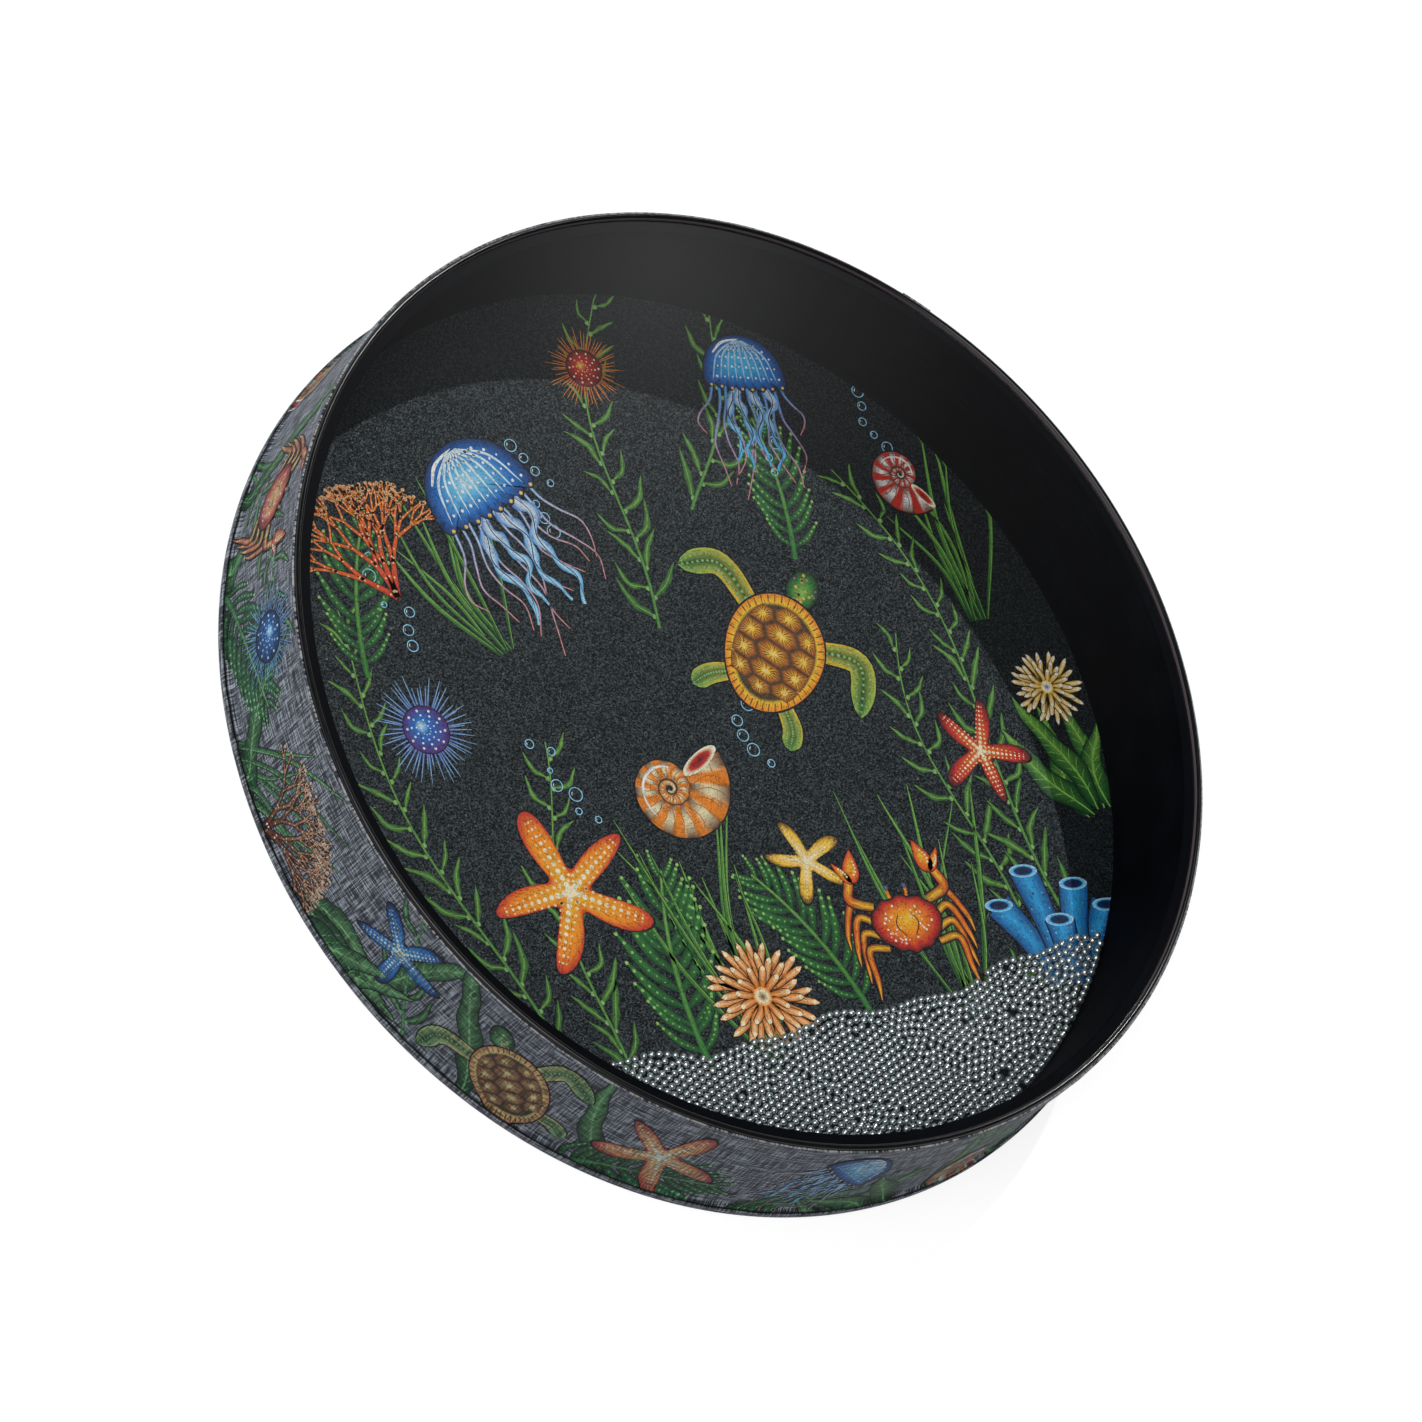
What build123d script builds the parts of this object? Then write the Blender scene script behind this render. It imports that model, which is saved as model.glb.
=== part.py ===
from build123d import *
import os
from math import cos, degrees, floor, pi, sin, sqrt

# Ocean drum: a shallow drum, closed by two heads, with loose steel shot inside.
# It lies on its back hoop with its clear head up. The axis is +Z and the origin is
# the middle of the face that it rests on. Millimetres.

# Shell, a wound fibre hoop
shell_d = 404.8
shell_wall = 7.4
drum_depth = 63.5
bore_edge_break = 0.5

# Heads
front_film_t = 0.25
back_film_t = 0.25
back_cloth_t = 0.35

# Front rim hoop, crowned, which clamps the clear head
front_hoop_w = 2.6
front_hoop_h = 2.0
front_hoop_crown = 1.3
crown_facets = 4

# Back hoop, which clamps the back head and carries the drum
back_hoop_h = 4.0
back_hoop_proud = 2.3
back_hoop_bevel = 0.6
binding_t = 0.4

# Cloth wrap round the shell
wrap_t = 0.5
wrap_groove = 0.8
wrap_lip = 0.5
hem_w = 7.0
hem_t = 0.35
hem_bevel = 0.3
lap_w = 12.0
lap_t = 0.4
lap_angle = 45.0
glue_line = 0.1

# Loose shot, banked up on the -Y side; shot_pitch is the least spacing along a row
shot_d = 3.2
shot_clear = 0.3
shot_pitch = 15.0
bank_depth = 66.0
band_count = 8

# Radii from the axis
shell_r = shell_d / 2
bore_r = shell_r - shell_wall
back_hoop_r = shell_r + back_hoop_proud
wrap_r = shell_r + glue_line
binding_r = back_hoop_r + glue_line

# Heights above the resting face
back_film_z = back_hoop_h
back_cloth_z = back_film_z + back_film_t
shell_z = back_cloth_z + back_cloth_t
front_hoop_z = drum_depth - front_hoop_h
front_film_z = front_hoop_z - front_film_t


def section(r_in, r_out, z_low, z_high):
    """Rectangle in the plane of radius and height."""
    middle = Pos((r_in + r_out) / 2, (z_low + z_high) / 2)
    return middle * Rectangle(r_out - r_in, z_high - z_low)


def turned(profile, arc=360.0):
    """Solid turned about the drum's axis from a profile in radius and height."""
    return revolve(Plane.XZ * profile, Axis.Z, arc)


def disc(radius, z_low, thickness):
    """Flat head lying on the height z_low."""
    return Pos(0, 0, z_low + thickness / 2) * Cylinder(radius, thickness)


def shell_hoop():
    """Wound hoop with the front edge of its bore broken."""
    profile = section(bore_r, shell_r, shell_z, front_film_z)
    front_corner = profile.vertices().group_by(Axis.X)[0].sort_by(Axis.Y)[-1]
    return turned(chamfer(front_corner, bore_edge_break))


def front_rim_hoop():
    """Hoop with a crowned top on the clear head, flush with the outside of the shell."""
    half_w = front_hoop_w / 2
    shoulder_z = drum_depth - front_hoop_crown
    outline = [(shell_r - front_hoop_w, front_hoop_z), (shell_r, front_hoop_z)]
    for step in range(crown_facets + 1):
        turn = pi * step / crown_facets
        outline.append((shell_r - half_w + half_w * cos(turn), shoulder_z + front_hoop_crown * sin(turn)))
    return turned(make_face(Polyline(*outline, close=True)))


def back_hoop():
    """Flat hoop under the back head, proud of the shell, with its outer edges bevelled."""
    profile = section(bore_r, back_hoop_r, 0, back_hoop_h)
    outer_corners = profile.vertices().group_by(Axis.X)[-1]
    return turned(chamfer(outer_corners, back_hoop_bevel))


def back_edge_binding():
    """Cloth strip round the flat of the back hoop's outer face."""
    return turned(section(binding_r, binding_r + binding_t, back_hoop_bevel, back_hoop_h - back_hoop_bevel))


def wrap_profile(extra):
    """Section of the wrap: one layer of cloth, with a second turned under along the front."""
    low = shell_z + wrap_groove
    high = front_hoop_z + wrap_lip
    out = wrap_r + wrap_t + extra
    profile = section(wrap_r, out, low, high) + section(wrap_r, out + hem_t, high - hem_w, high)
    front_corner = profile.vertices().group_by(Axis.X)[-1].sort_by(Axis.Y)[-1]
    return chamfer(front_corner, hem_bevel)


def side_wrap():
    """Cloth band whose end laps over its start by the width lap_w."""
    lap_arc = degrees(lap_w / wrap_r)
    band = turned(wrap_profile(0), 360.0 - lap_arc)
    lap = Rot(0, 0, -lap_arc) * turned(wrap_profile(lap_t), lap_arc)
    return Rot(0, 0, lap_angle) * (band + lap)


def ball():
    """One ball of the shot, with 26 flat faces whose corners lie on its sphere."""
    edge = shot_d / sqrt(5 + 2 * sqrt(2))
    bevel = edge / sqrt(2)
    cube = Box(edge + 2 * bevel, edge + 2 * bevel, edge + 2 * bevel)
    return chamfer(cube.edges(), bevel)


def shot_band(index):
    """Row of loose balls from wall to wall; band 0 is the inner edge of the bank, the last lies outermost."""
    ball_r = shot_d / 2
    reach = bore_r - shot_clear - ball_r
    y = -reach + bank_depth * (1 - (index + 0.5) / band_count)
    z = shell_z + shot_clear + ball_r
    half_row = sqrt(reach**2 - y**2)
    gaps = max(floor(2 * half_row / shot_pitch), 1)
    step = 2 * half_row / gaps
    one = ball()
    return [Pos(i * step - half_row, y, z) * one for i in range(gaps + 1)]


def save(name, solids):
    """Write one named piece, or one group of equal pieces."""
    group = Compound(label=name, children=solids)
    export_step(group, f"parts/{name}.step")


os.makedirs("parts", exist_ok=True)
save("back_hoop", [back_hoop()])
save("back_edge_binding", [back_edge_binding()])
save("back_head_film", [disc(shell_r, back_film_z, back_film_t)])
save("back_head_cloth", [disc(shell_r, back_cloth_z, back_cloth_t)])
save("shell_hoop", [shell_hoop()])
save("side_wrap", [side_wrap()])
save("clear_front_head", [disc(shell_r, front_film_z, front_film_t)])
save("front_rim_hoop", [front_rim_hoop()])
for band in range(band_count - 1):
    save(f"wave_shot_{band + 1}", shot_band(band))
save("rim_shot", shot_band(band_count - 1))
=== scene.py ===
import math
import random

import bpy
import numpy as np
from mathutils import Matrix, Vector


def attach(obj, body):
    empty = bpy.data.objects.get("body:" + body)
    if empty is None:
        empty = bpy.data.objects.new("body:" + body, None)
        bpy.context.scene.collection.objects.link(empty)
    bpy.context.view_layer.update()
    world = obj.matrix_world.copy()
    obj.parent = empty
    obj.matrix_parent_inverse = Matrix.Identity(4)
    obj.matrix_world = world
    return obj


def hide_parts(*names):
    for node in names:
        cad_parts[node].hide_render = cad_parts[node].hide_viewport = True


# Ocean drum lying on its back hoop, clear head up. Metres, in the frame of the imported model.

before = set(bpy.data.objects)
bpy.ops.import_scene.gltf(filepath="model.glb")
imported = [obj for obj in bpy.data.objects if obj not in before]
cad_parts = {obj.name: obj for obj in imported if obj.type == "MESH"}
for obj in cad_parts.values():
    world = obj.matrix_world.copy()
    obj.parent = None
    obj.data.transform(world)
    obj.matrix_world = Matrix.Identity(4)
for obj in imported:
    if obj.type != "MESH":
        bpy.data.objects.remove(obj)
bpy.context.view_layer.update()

MM = 0.001

# Sizes of the drum: those of the solids, with hair gaps between the layers, and the flare of the wrap over
# the back hoop
BORE_R = 195.0 * MM
SHELL_R = 202.4 * MM
SHELL_Z = (4.6 * MM, 61.25 * MM)
FILM_Z = (61.27 * MM, 61.48 * MM)
FRONT_HOOP_R = (199.8 * MM, 202.4 * MM)
FRONT_HOOP_Z = (61.5 * MM, 62.2 * MM, 63.5 * MM)
BACK_HOOP_R = 204.7 * MM
BACK_HOOP_Z = 4.0 * MM
BACK_FILM_Z = (4.02 * MM, 4.23 * MM)
CLOTH_Z = (4.25 * MM, 4.58 * MM)
WRAP_R = (202.5 * MM, 203.0 * MM)
WRAP_Z = (5.4 * MM, 62.0 * MM)
HEM_R = 203.35 * MM
HEM_Z = 55.0 * MM
HEM_STEP_Z = (HEM_Z - 0.2 * MM, HEM_Z - 0.03 * MM)
FLARE = [(204.55 * MM, 4.35 * MM), (204.5 * MM, 4.7 * MM), (204.0 * MM, 5.2 * MM), (203.35 * MM, 6.0 * MM),
         (203.0 * MM, 7.4 * MM)]
LAP_T = 0.4 * MM
LAP_TURN = (math.radians(41.25), math.radians(45.0))
BINDING_R = (204.8 * MM, 205.2 * MM)
BINDING_Z = (0.6 * MM, 3.4 * MM)
SHOT_R = 1.6 * MM
SHOT_Z = 6.5 * MM
SHOT_REACH = 193.1 * MM
BANK_DEPTH = 66.0 * MM
BANDS = 8

# Corners round each circle, and the widths of the rings that a head is divided into, from its edge inwards
ROUND = 288
FILM_RINGS = (3 * MM, 60 * MM, 60 * MM)
CLOTH_RINGS = (8 * MM, 60 * MM, 60 * MM)
BACK_FILM_RINGS = (8 * MM, 60 * MM)

# Grains of the head cloth to the metre; threads of the wrap, their changes along their length and their knots
PEBBLE = 1850.0
THREADS = 1850.0
SLUBS = 100.0
KNOTS = 1500.0

# Print: each shape lies a hair above the one printed before it
INK_LIFT = 0.03 * MM
HEAD_INK_STEP = 0.0075 * MM
SIDE_INK_STEP = 0.015 * MM
HEAD_PRINT_R = 194.9
PRINT_MARGIN = math.radians(4.0)
PRINT_START = LAP_TURN[1] + PRINT_MARGIN

# Seeds of the random draws
PLANT_SEED = 7
ANIMAL_SEED = 8
WRAP_SEED = 3
SHOT_SEED = 4

# Studio: what the lamps aim at, how far off they stand, where the camera is, and the direction that the clear
# head mirrors into it
DRUM_MIDDLE = (0, 0, 0.03)
LAMP_FAR = 2.6
CAMERA_PLACE = (-2.7414, -1.1534, 3.7267)
FILM_MIRRORS = (0.577, 0.243, 0.779)


# Modelling helpers

def clear_selection():
    if bpy.context.object and bpy.context.object.mode != "OBJECT":
        bpy.ops.object.mode_set(mode="OBJECT")
    bpy.ops.object.select_all(action="DESELECT")


def pick_only(piece):
    """Makes a piece the only one that the next steps work on."""
    clear_selection()
    piece.select_set(True)
    bpy.context.view_layer.objects.active = piece


def turned_ring(name, profile, smooth_below=40):
    """Closed ring: a circle is extruded from point to point of its section, and the ends are bridged."""
    clear_selection()
    r, z = profile[0]
    bpy.ops.mesh.primitive_circle_add(vertices=ROUND, radius=r, fill_type="NOTHING", location=(0, 0, z))
    ring = bpy.context.object
    ring.name = ring.data.name = name
    bpy.ops.object.transform_apply(location=True, rotation=False, scale=False)
    bpy.ops.object.mode_set(mode="EDIT")
    bpy.ops.mesh.select_all(action="SELECT")
    for r_next, z_next in profile[1:]:
        bpy.ops.mesh.extrude_edges_move(TRANSFORM_OT_translate={"value": (0, 0, z_next - z)})
        bpy.ops.transform.resize(value=(r_next / r, r_next / r, 1), center_override=(0, 0, 0))
        r, z = r_next, z_next
    bpy.ops.mesh.select_all(action="DESELECT")
    bpy.ops.mesh.select_non_manifold()
    bpy.ops.mesh.bridge_edge_loops()
    bpy.ops.mesh.select_all(action="SELECT")
    bpy.ops.mesh.normals_make_consistent(inside=False)
    bpy.ops.object.mode_set(mode="OBJECT")
    bpy.ops.object.shade_smooth_by_angle(angle=math.radians(smooth_below))
    return ring


def stretched_disc(name, radius, z_low, z_high, insets):
    """Flat head: a disc is drawn up to its thickness, and its top is inset towards the middle."""
    clear_selection()
    bpy.ops.mesh.primitive_circle_add(vertices=ROUND, radius=radius, fill_type="NGON", location=(0, 0, z_low))
    disc = bpy.context.object
    disc.name = disc.data.name = name
    bpy.ops.object.transform_apply(location=True, rotation=False, scale=False)
    bpy.ops.object.mode_set(mode="EDIT")
    bpy.ops.mesh.select_all(action="SELECT")
    bpy.ops.mesh.extrude_region_move(TRANSFORM_OT_translate={"value": (0, 0, z_high - z_low)})
    for width in insets:
        bpy.ops.mesh.inset(thickness=width)
    bpy.ops.mesh.select_all(action="SELECT")
    bpy.ops.mesh.normals_make_consistent(inside=False)
    bpy.ops.object.mode_set(mode="OBJECT")
    bpy.ops.object.shade_smooth_by_angle(angle=math.radians(30))
    return disc


def dress(piece, material, body, slot, *nodes):
    """Gives a piece its finish, the body it rides on and the solids it stands for."""
    piece.data.materials.clear()
    piece.data.materials.append(material)
    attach(piece, body)
    if nodes:
        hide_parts(*nodes)
    return piece


# Finishes

def new_finish(name):
    material = bpy.data.materials.new(name)
    material.use_nodes = True
    tree = material.node_tree
    return material, tree, tree.nodes["Principled BSDF"]


def add(tree, kind, **settings):
    node = tree.nodes.new(kind)
    for key, value in settings.items():
        setattr(node, key, value)
    return node


def feed(tree, socket, value):
    """Links a socket to another node's output, or sets its value."""
    if isinstance(value, bpy.types.NodeSocket):
        tree.links.new(value, socket)
    else:
        socket.default_value = value


def put(tree, node, **values):
    """Feeds a node's inputs by name; underscores stand for spaces."""
    for key, value in values.items():
        feed(tree, node.inputs[key.replace("_", " ")], value)


def sums(tree, operation, a, b):
    node = add(tree, "ShaderNodeMath", operation=operation)
    feed(tree, node.inputs[0], a)
    feed(tree, node.inputs[1], b)
    return node.outputs[0]


def weighted(tree, *parts):
    """Sum of values, each times its weight."""
    total = None
    for value, weight in parts:
        part = sums(tree, "MULTIPLY", value, weight)
        total = part if total is None else sums(tree, "ADD", total, part)
    return total


def ramp(tree, fac, *stops):
    """Colours by place; a plain number is a grey."""
    node = add(tree, "ShaderNodeValToRGB")
    band = node.color_ramp.elements
    while len(band) < len(stops):
        band.new(0.5)
    for element, (place, colour) in zip(band, stops):
        element.position = place
        element.color = (*colour, 1) if isinstance(colour, tuple) else (colour, colour, colour, 1)
    tree.links.new(fac, node.inputs["Fac"])
    return node.outputs["Color"]


def grain(tree, vector, scale, detail=2.0, rough=0.5):
    node = add(tree, "ShaderNodeTexNoise")
    put(tree, node, Vector=vector, Scale=scale, Detail=detail, Roughness=rough)
    return node.outputs["Fac"]


def speckle(tree, vector, scale):
    """Fine grains, each with a random shade of its own."""
    node = add(tree, "ShaderNodeTexVoronoi")
    put(tree, node, Vector=vector, Scale=scale)
    apart = add(tree, "ShaderNodeSeparateColor")
    tree.links.new(node.outputs["Color"], apart.inputs[0])
    return apart.outputs[0]


def stretched(tree, vector, scale):
    node = add(tree, "ShaderNodeMapping")
    put(tree, node, Vector=vector, Scale=scale)
    return node.outputs["Vector"]


def relief(tree, height, strength, distance):
    node = add(tree, "ShaderNodeBump")
    put(tree, node, Height=height, Strength=strength, Distance=distance)
    return node.outputs["Normal"]


def mixed(tree, fac, a, b):
    """Colour between two others, each from a node or plain."""
    node = add(tree, "ShaderNodeMix", data_type="RGBA")
    feed(tree, node.inputs["Factor"], fac)
    for socket, colour in ((node.inputs[6], a), (node.inputs[7], b)):
        feed(tree, socket, (*colour, 1) if isinstance(colour, tuple) else colour)
    return node.outputs[2]


def multiplied(tree, a, b):
    node = add(tree, "ShaderNodeMix", data_type="RGBA", blend_type="MULTIPLY")
    node.inputs["Factor"].default_value = 1.0
    tree.links.new(a, node.inputs[6])
    tree.links.new(b, node.inputs[7])
    return node.outputs[2]


def object_place(tree):
    return add(tree, "ShaderNodeTexCoord").outputs["Object"]


def split(tree, vector, axis):
    """One coordinate of a vector."""
    apart = add(tree, "ShaderNodeSeparateXYZ")
    tree.links.new(vector, apart.inputs[0])
    return apart.outputs[axis]


def round_place(tree):
    """Radius and height of a point, so that a pattern runs round the drum as lines."""
    place = object_place(tree)
    flat = add(tree, "ShaderNodeVectorMath", operation="MULTIPLY")
    tree.links.new(place, flat.inputs[0])
    flat.inputs[1].default_value = (1, 1, 0)
    far = add(tree, "ShaderNodeVectorMath", operation="LENGTH")
    tree.links.new(flat.outputs[0], far.inputs[0])
    whole = add(tree, "ShaderNodeCombineXYZ")
    tree.links.new(far.outputs["Value"], whole.inputs[0])
    tree.links.new(split(tree, place, "Z"), whole.inputs[2])
    return whole.outputs[0]


def black_fibre_finish():
    """Wound fibre, painted black: ply lines round it, a few paler scuffs."""
    material, tree, shader = new_finish("black_fibre")
    plies = grain(tree, round_place(tree), 1500.0, 1.0)
    cloud = grain(tree, object_place(tree), 60.0, 4.0)
    shade = weighted(tree, (plies, 0.6), (cloud, 0.4))
    colour = ramp(tree, shade, (0.3, (0.0007, 0.0008, 0.0014)), (0.55, (0.0018, 0.0023, 0.004)),
                  (0.72, (0.006, 0.007, 0.0095)))
    rough = ramp(tree, shade, (0.3, 0.7), (0.7, 0.85))
    put(tree, shader, Base_Color=colour, Roughness=rough, Specular_IOR_Level=0.05,
        Normal=relief(tree, plies, 0.3, 0.0002))
    return material


def rim_gloss_finish():
    """Black gloss of the front hoop, with fine turning lines and a thin painted highlight line at its foot.
    """
    material, tree, shader = new_finish("rim_gloss")
    inner, outer = FRONT_HOOP_R
    lines = grain(tree, round_place(tree), 2600.0, 0.0)
    cloud = grain(tree, object_place(tree), 140.0, 3.0)
    black = ramp(tree, cloud, (0.35, (0.001, 0.0011, 0.0016)), (0.75, (0.004, 0.004, 0.005)))
    # Painted highlight: a thin pale line along the foot of the hoop's inner side.
    from_foot = sums(tree, "SUBTRACT", split(tree, round_place(tree), "X"), inner)
    foot = ramp(tree, sums(tree, "DIVIDE", from_foot, outer - inner), (0.0, 1.0), (0.05, 1.0), (0.1, 0.0))
    colour = mixed(tree, foot, black, (0.055, 0.043, 0.047))
    rough = ramp(tree, lines, (0.3, 0.12), (0.75, 0.24))
    put(tree, shader, Base_Color=colour, Roughness=rough, Specular_IOR_Level=0.3,
        Normal=relief(tree, lines, 0.12, 0.0001))
    return material


def clear_film_finish():
    """Clear polyester head: see-through, glossy where a ray meets it from outside, more so at low angles."""
    material, tree, shader = new_finish("clear_film")
    tree.nodes.remove(shader)
    clear = add(tree, "ShaderNodeBsdfTransparent")
    put(tree, clear, Color=(0.985, 0.99, 0.99, 1))
    gloss = add(tree, "ShaderNodeBsdfGlossy")
    put(tree, gloss, Roughness=0.05)
    edge = add(tree, "ShaderNodeFresnel")
    put(tree, edge, IOR=2.05)
    face = add(tree, "ShaderNodeNewGeometry")
    outside = sums(tree, "SUBTRACT", 1.0, face.outputs["Backfacing"])
    both = add(tree, "ShaderNodeMixShader")
    tree.links.new(sums(tree, "MULTIPLY", edge.outputs[0], outside), both.inputs[0])
    tree.links.new(clear.outputs[0], both.inputs[1])
    tree.links.new(gloss.outputs[0], both.inputs[2])
    tree.links.new(both.outputs[0], tree.nodes["Material Output"].inputs["Surface"])
    return material


def head_cloth_finish():
    """Black head cloth: fine pebbled weave that glitters a little under a hard lamp."""
    material, tree, shader = new_finish("head_cloth")
    place = object_place(tree)
    pebble = speckle(tree, place, PEBBLE)
    cloud = grain(tree, place, 22.0, 4.0)
    shade = weighted(tree, (pebble, 0.85), (cloud, 0.15))
    colour = ramp(tree, shade, (0.1, (0.0005, 0.0008, 0.001)), (0.6, (0.002, 0.003, 0.0036)),
                  (1.0, (0.017, 0.021, 0.024)))
    rough = ramp(tree, pebble, (0.0, 0.75), (1.0, 0.36))
    shine = ramp(tree, pebble, (0.0, (0.10, 0.125, 0.145)), (0.55, (0.35, 0.435, 0.49)),
                 (1.0, (0.86, 0.98, 1.0)))
    put(tree, shader, Base_Color=colour, Roughness=rough, Specular_IOR_Level=0.95, Specular_Tint=shine,
        Normal=relief(tree, grain(tree, place, PEBBLE, 0.5), 0.9, 0.0004))
    return material


def head_ink_finish():
    """Ink on the head cloth: each shape's colours, brushed along its strokes, with the cloth's pebbles."""
    material, tree, shader = new_finish("head_ink")
    colour = add(tree, "ShaderNodeAttribute", attribute_name="ink").outputs["Color"]
    stroke = add(tree, "ShaderNodeAttribute", attribute_name="stroke").outputs["Vector"]
    brushed = grain(tree, stretched(tree, stroke, (0.22, 1.9, 1.0)), 1.0, 2.0, 0.6)
    pebble = speckle(tree, object_place(tree), PEBBLE)
    shade = weighted(tree, (brushed, 0.8), (pebble, 0.2))
    tone = ramp(tree, shade, (0.34, (0.4, 0.4, 0.42)), (0.48, 0.95), (0.6, 1.0))
    rough = ramp(tree, pebble, (0.0, 0.8), (1.0, 0.36))
    put(tree, shader, Base_Color=multiplied(tree, colour, tone), Roughness=rough, Specular_IOR_Level=0.3,
        Specular_Tint=(0.9, 0.97, 1.0, 1.0), Normal=relief(tree, brushed, 0.2, 0.0003))
    return material


def woven(tree, place):
    """Crossed threads of uneven thickness. Place is measured in metres along and across the cloth."""
    along = grain(tree, stretched(tree, place, (SLUBS, THREADS, 1.0)), 1.0, 0.5)
    across = grain(tree, stretched(tree, place, (THREADS, SLUBS, 1.0)), 1.0, 0.5)
    knots = speckle(tree, place, KNOTS)
    return weighted(tree, (along, 0.47), (across, 0.47), (knots, 0.06))


def painted_hem_shadows(tree):
    """Painted shade across the wrap: thin painted shadows under its hem, along two soft creases and above the
    binding.

    The stops give heights in millimetres.
    """
    place = object_place(tree)
    wander = sums(tree, "MULTIPLY", sums(tree, "SUBTRACT", grain(tree, place, 90.0, 3.0), 0.5), 1.0 * MM)
    height = sums(tree, "DIVIDE", sums(tree, "ADD", split(tree, place, "Z"), wander), WRAP_Z[1])
    # Each dip below 1.0 is a painted shadow line: above the binding, along a crease, under the hem and along
    # a second crease.
    stops = [(0.0, 1.0), (3.6, 1.0), (4.0, 0.12), (4.7, 0.12), (5.1, 1.0), (46.3, 1.0), (46.6, 0.5),
             (46.9, 1.0), (54.1, 1.0), (54.4, 0.22), (54.7, 0.22), (55.0, 1.0), (58.6, 1.0), (58.8, 0.65),
             (59.1, 1.0)]
    return ramp(tree, height, *[(z * MM / WRAP_Z[1], tone) for z, tone in stops])


def cut_edge(tree, place):
    """Share of pale thread ends along the front edge of the wrap."""
    top = WRAP_Z[1]
    height = sums(tree, "DIVIDE", split(tree, object_place(tree), "Z"), top)
    above = ramp(tree, height, (0.0, 0.0), (1 - 0.26 * MM / top, 0.0), (1 - 0.16 * MM / top, 1.0))
    ends = grain(tree, stretched(tree, place, (900.0, 60.0, 1.0)), 1.0, 1.0)
    return multiplied(tree, above, ramp(tree, ends, (0.46, 0.0), (0.58, 1.0)))


def wrap_cloth_finish(name, dark, middle, pale):
    """Grey woven cloth, with the colours of its dark, middle and pale threads."""
    material, tree, shader = new_finish(name)
    place = add(tree, "ShaderNodeUVMap", uv_map="cloth").outputs[0]
    threads = woven(tree, place)
    shade = ramp(tree, threads, (0.39, dark), (0.5, middle), (0.61, pale))
    # Thread colours darkened by the painted hem shadows, with pale thread ends at the front edge.
    colour = mixed(tree, cut_edge(tree, place), multiplied(tree, shade, painted_hem_shadows(tree)), (0.3, 0.29, 0.28))
    put(tree, shader, Base_Color=colour, Roughness=0.7, Specular_IOR_Level=0.2,
        Normal=relief(tree, threads, 0.5, 0.0005))
    return material


def wrap_ink_finish():
    """Faded ink on the wrap, through which its threads show."""
    material, tree, shader = new_finish("wrap_ink")
    colour = add(tree, "ShaderNodeAttribute", attribute_name="ink").outputs["Color"]
    threads = woven(tree, add(tree, "ShaderNodeUVMap", uv_map="cloth").outputs[0])
    shade = ramp(tree, threads, (0.4, (0.2, 0.2, 0.22)), (0.5, 0.7), (0.58, 1.0))
    # The painted hem shadows darken the ink as well.
    tone = multiplied(tree, shade, painted_hem_shadows(tree))
    put(tree, shader, Base_Color=multiplied(tree, colour, tone), Roughness=0.7, Specular_IOR_Level=0.2,
        Normal=relief(tree, threads, 0.5, 0.0005))
    return material


def steel_finish():
    """Polished steel, a little duller in places."""
    material, tree, shader = new_finish("steel_shot")
    cloud = grain(tree, object_place(tree), 420.0, 2.0)
    colour = ramp(tree, cloud, (0.3, (0.54, 0.59, 0.61)), (0.7, (0.68, 0.735, 0.75)))
    rough = ramp(tree, cloud, (0.3, 0.16), (0.7, 0.1))
    put(tree, shader, Base_Color=colour, Metallic=0.86, Roughness=rough)
    return material


def back_film_finish():
    """Dark film of the back head, seen from below."""
    material, tree, shader = new_finish("back_film")
    cloud = grain(tree, object_place(tree), 9.0, 5.0)
    fine = grain(tree, object_place(tree), 900.0, 1.0)
    colour = ramp(tree, cloud, (0.3, (0.012, 0.012, 0.013)), (0.7, (0.03, 0.03, 0.032)))
    rough = ramp(tree, fine, (0.3, 0.38), (0.7, 0.52))
    put(tree, shader, Base_Color=colour, Roughness=rough, Normal=relief(tree, fine, 0.1, 0.0002))
    return material


black_fibre = black_fibre_finish()
rim_gloss = rim_gloss_finish()
clear_film = clear_film_finish()
head_cloth = head_cloth_finish()
head_ink = head_ink_finish()
wrap_cloth = wrap_cloth_finish("wrap_cloth", (0.008, 0.0095, 0.013), (0.041, 0.048, 0.062),
                               (0.2, 0.22, 0.25))
wrap_ink = wrap_ink_finish()
binding_cloth = wrap_cloth_finish("binding_cloth", (0.010, 0.012, 0.015), (0.05, 0.058, 0.07),
                                  (0.23, 0.25, 0.28))
steel_shot = steel_finish()
back_film = back_film_finish()


# Printing inks, in linear light
DEEP_GREEN, GREEN = (0.004, 0.034, 0.010), (0.013, 0.115, 0.022)
LEAF, LIME = (0.042, 0.235, 0.036), (0.27, 0.54, 0.085)
NAVY, BLUE, SKY, ICE = (0.004, 0.024, 0.12), (0.006, 0.17, 0.58), (0.04, 0.48, 0.86), (0.58, 0.86, 0.95)
MAROON, RED = (0.11, 0.006, 0.005), (0.62, 0.026, 0.016)
ORANGE, AMBER = (0.95, 0.27, 0.008), (0.98, 0.58, 0.03)
CREAM, WHITE, PLUM, BROWN = (0.97, 0.84, 0.5), (0.93, 0.93, 0.9), (0.09, 0.018, 0.17), (0.15, 0.055, 0.014)
INK_BLACK = (0.004, 0.005, 0.006)


def blend(a, b, share):
    share = np.clip(np.asarray(share, float), 0, 1)[..., None]
    return np.asarray(a, float) * (1 - share) + np.asarray(b, float) * share


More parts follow.
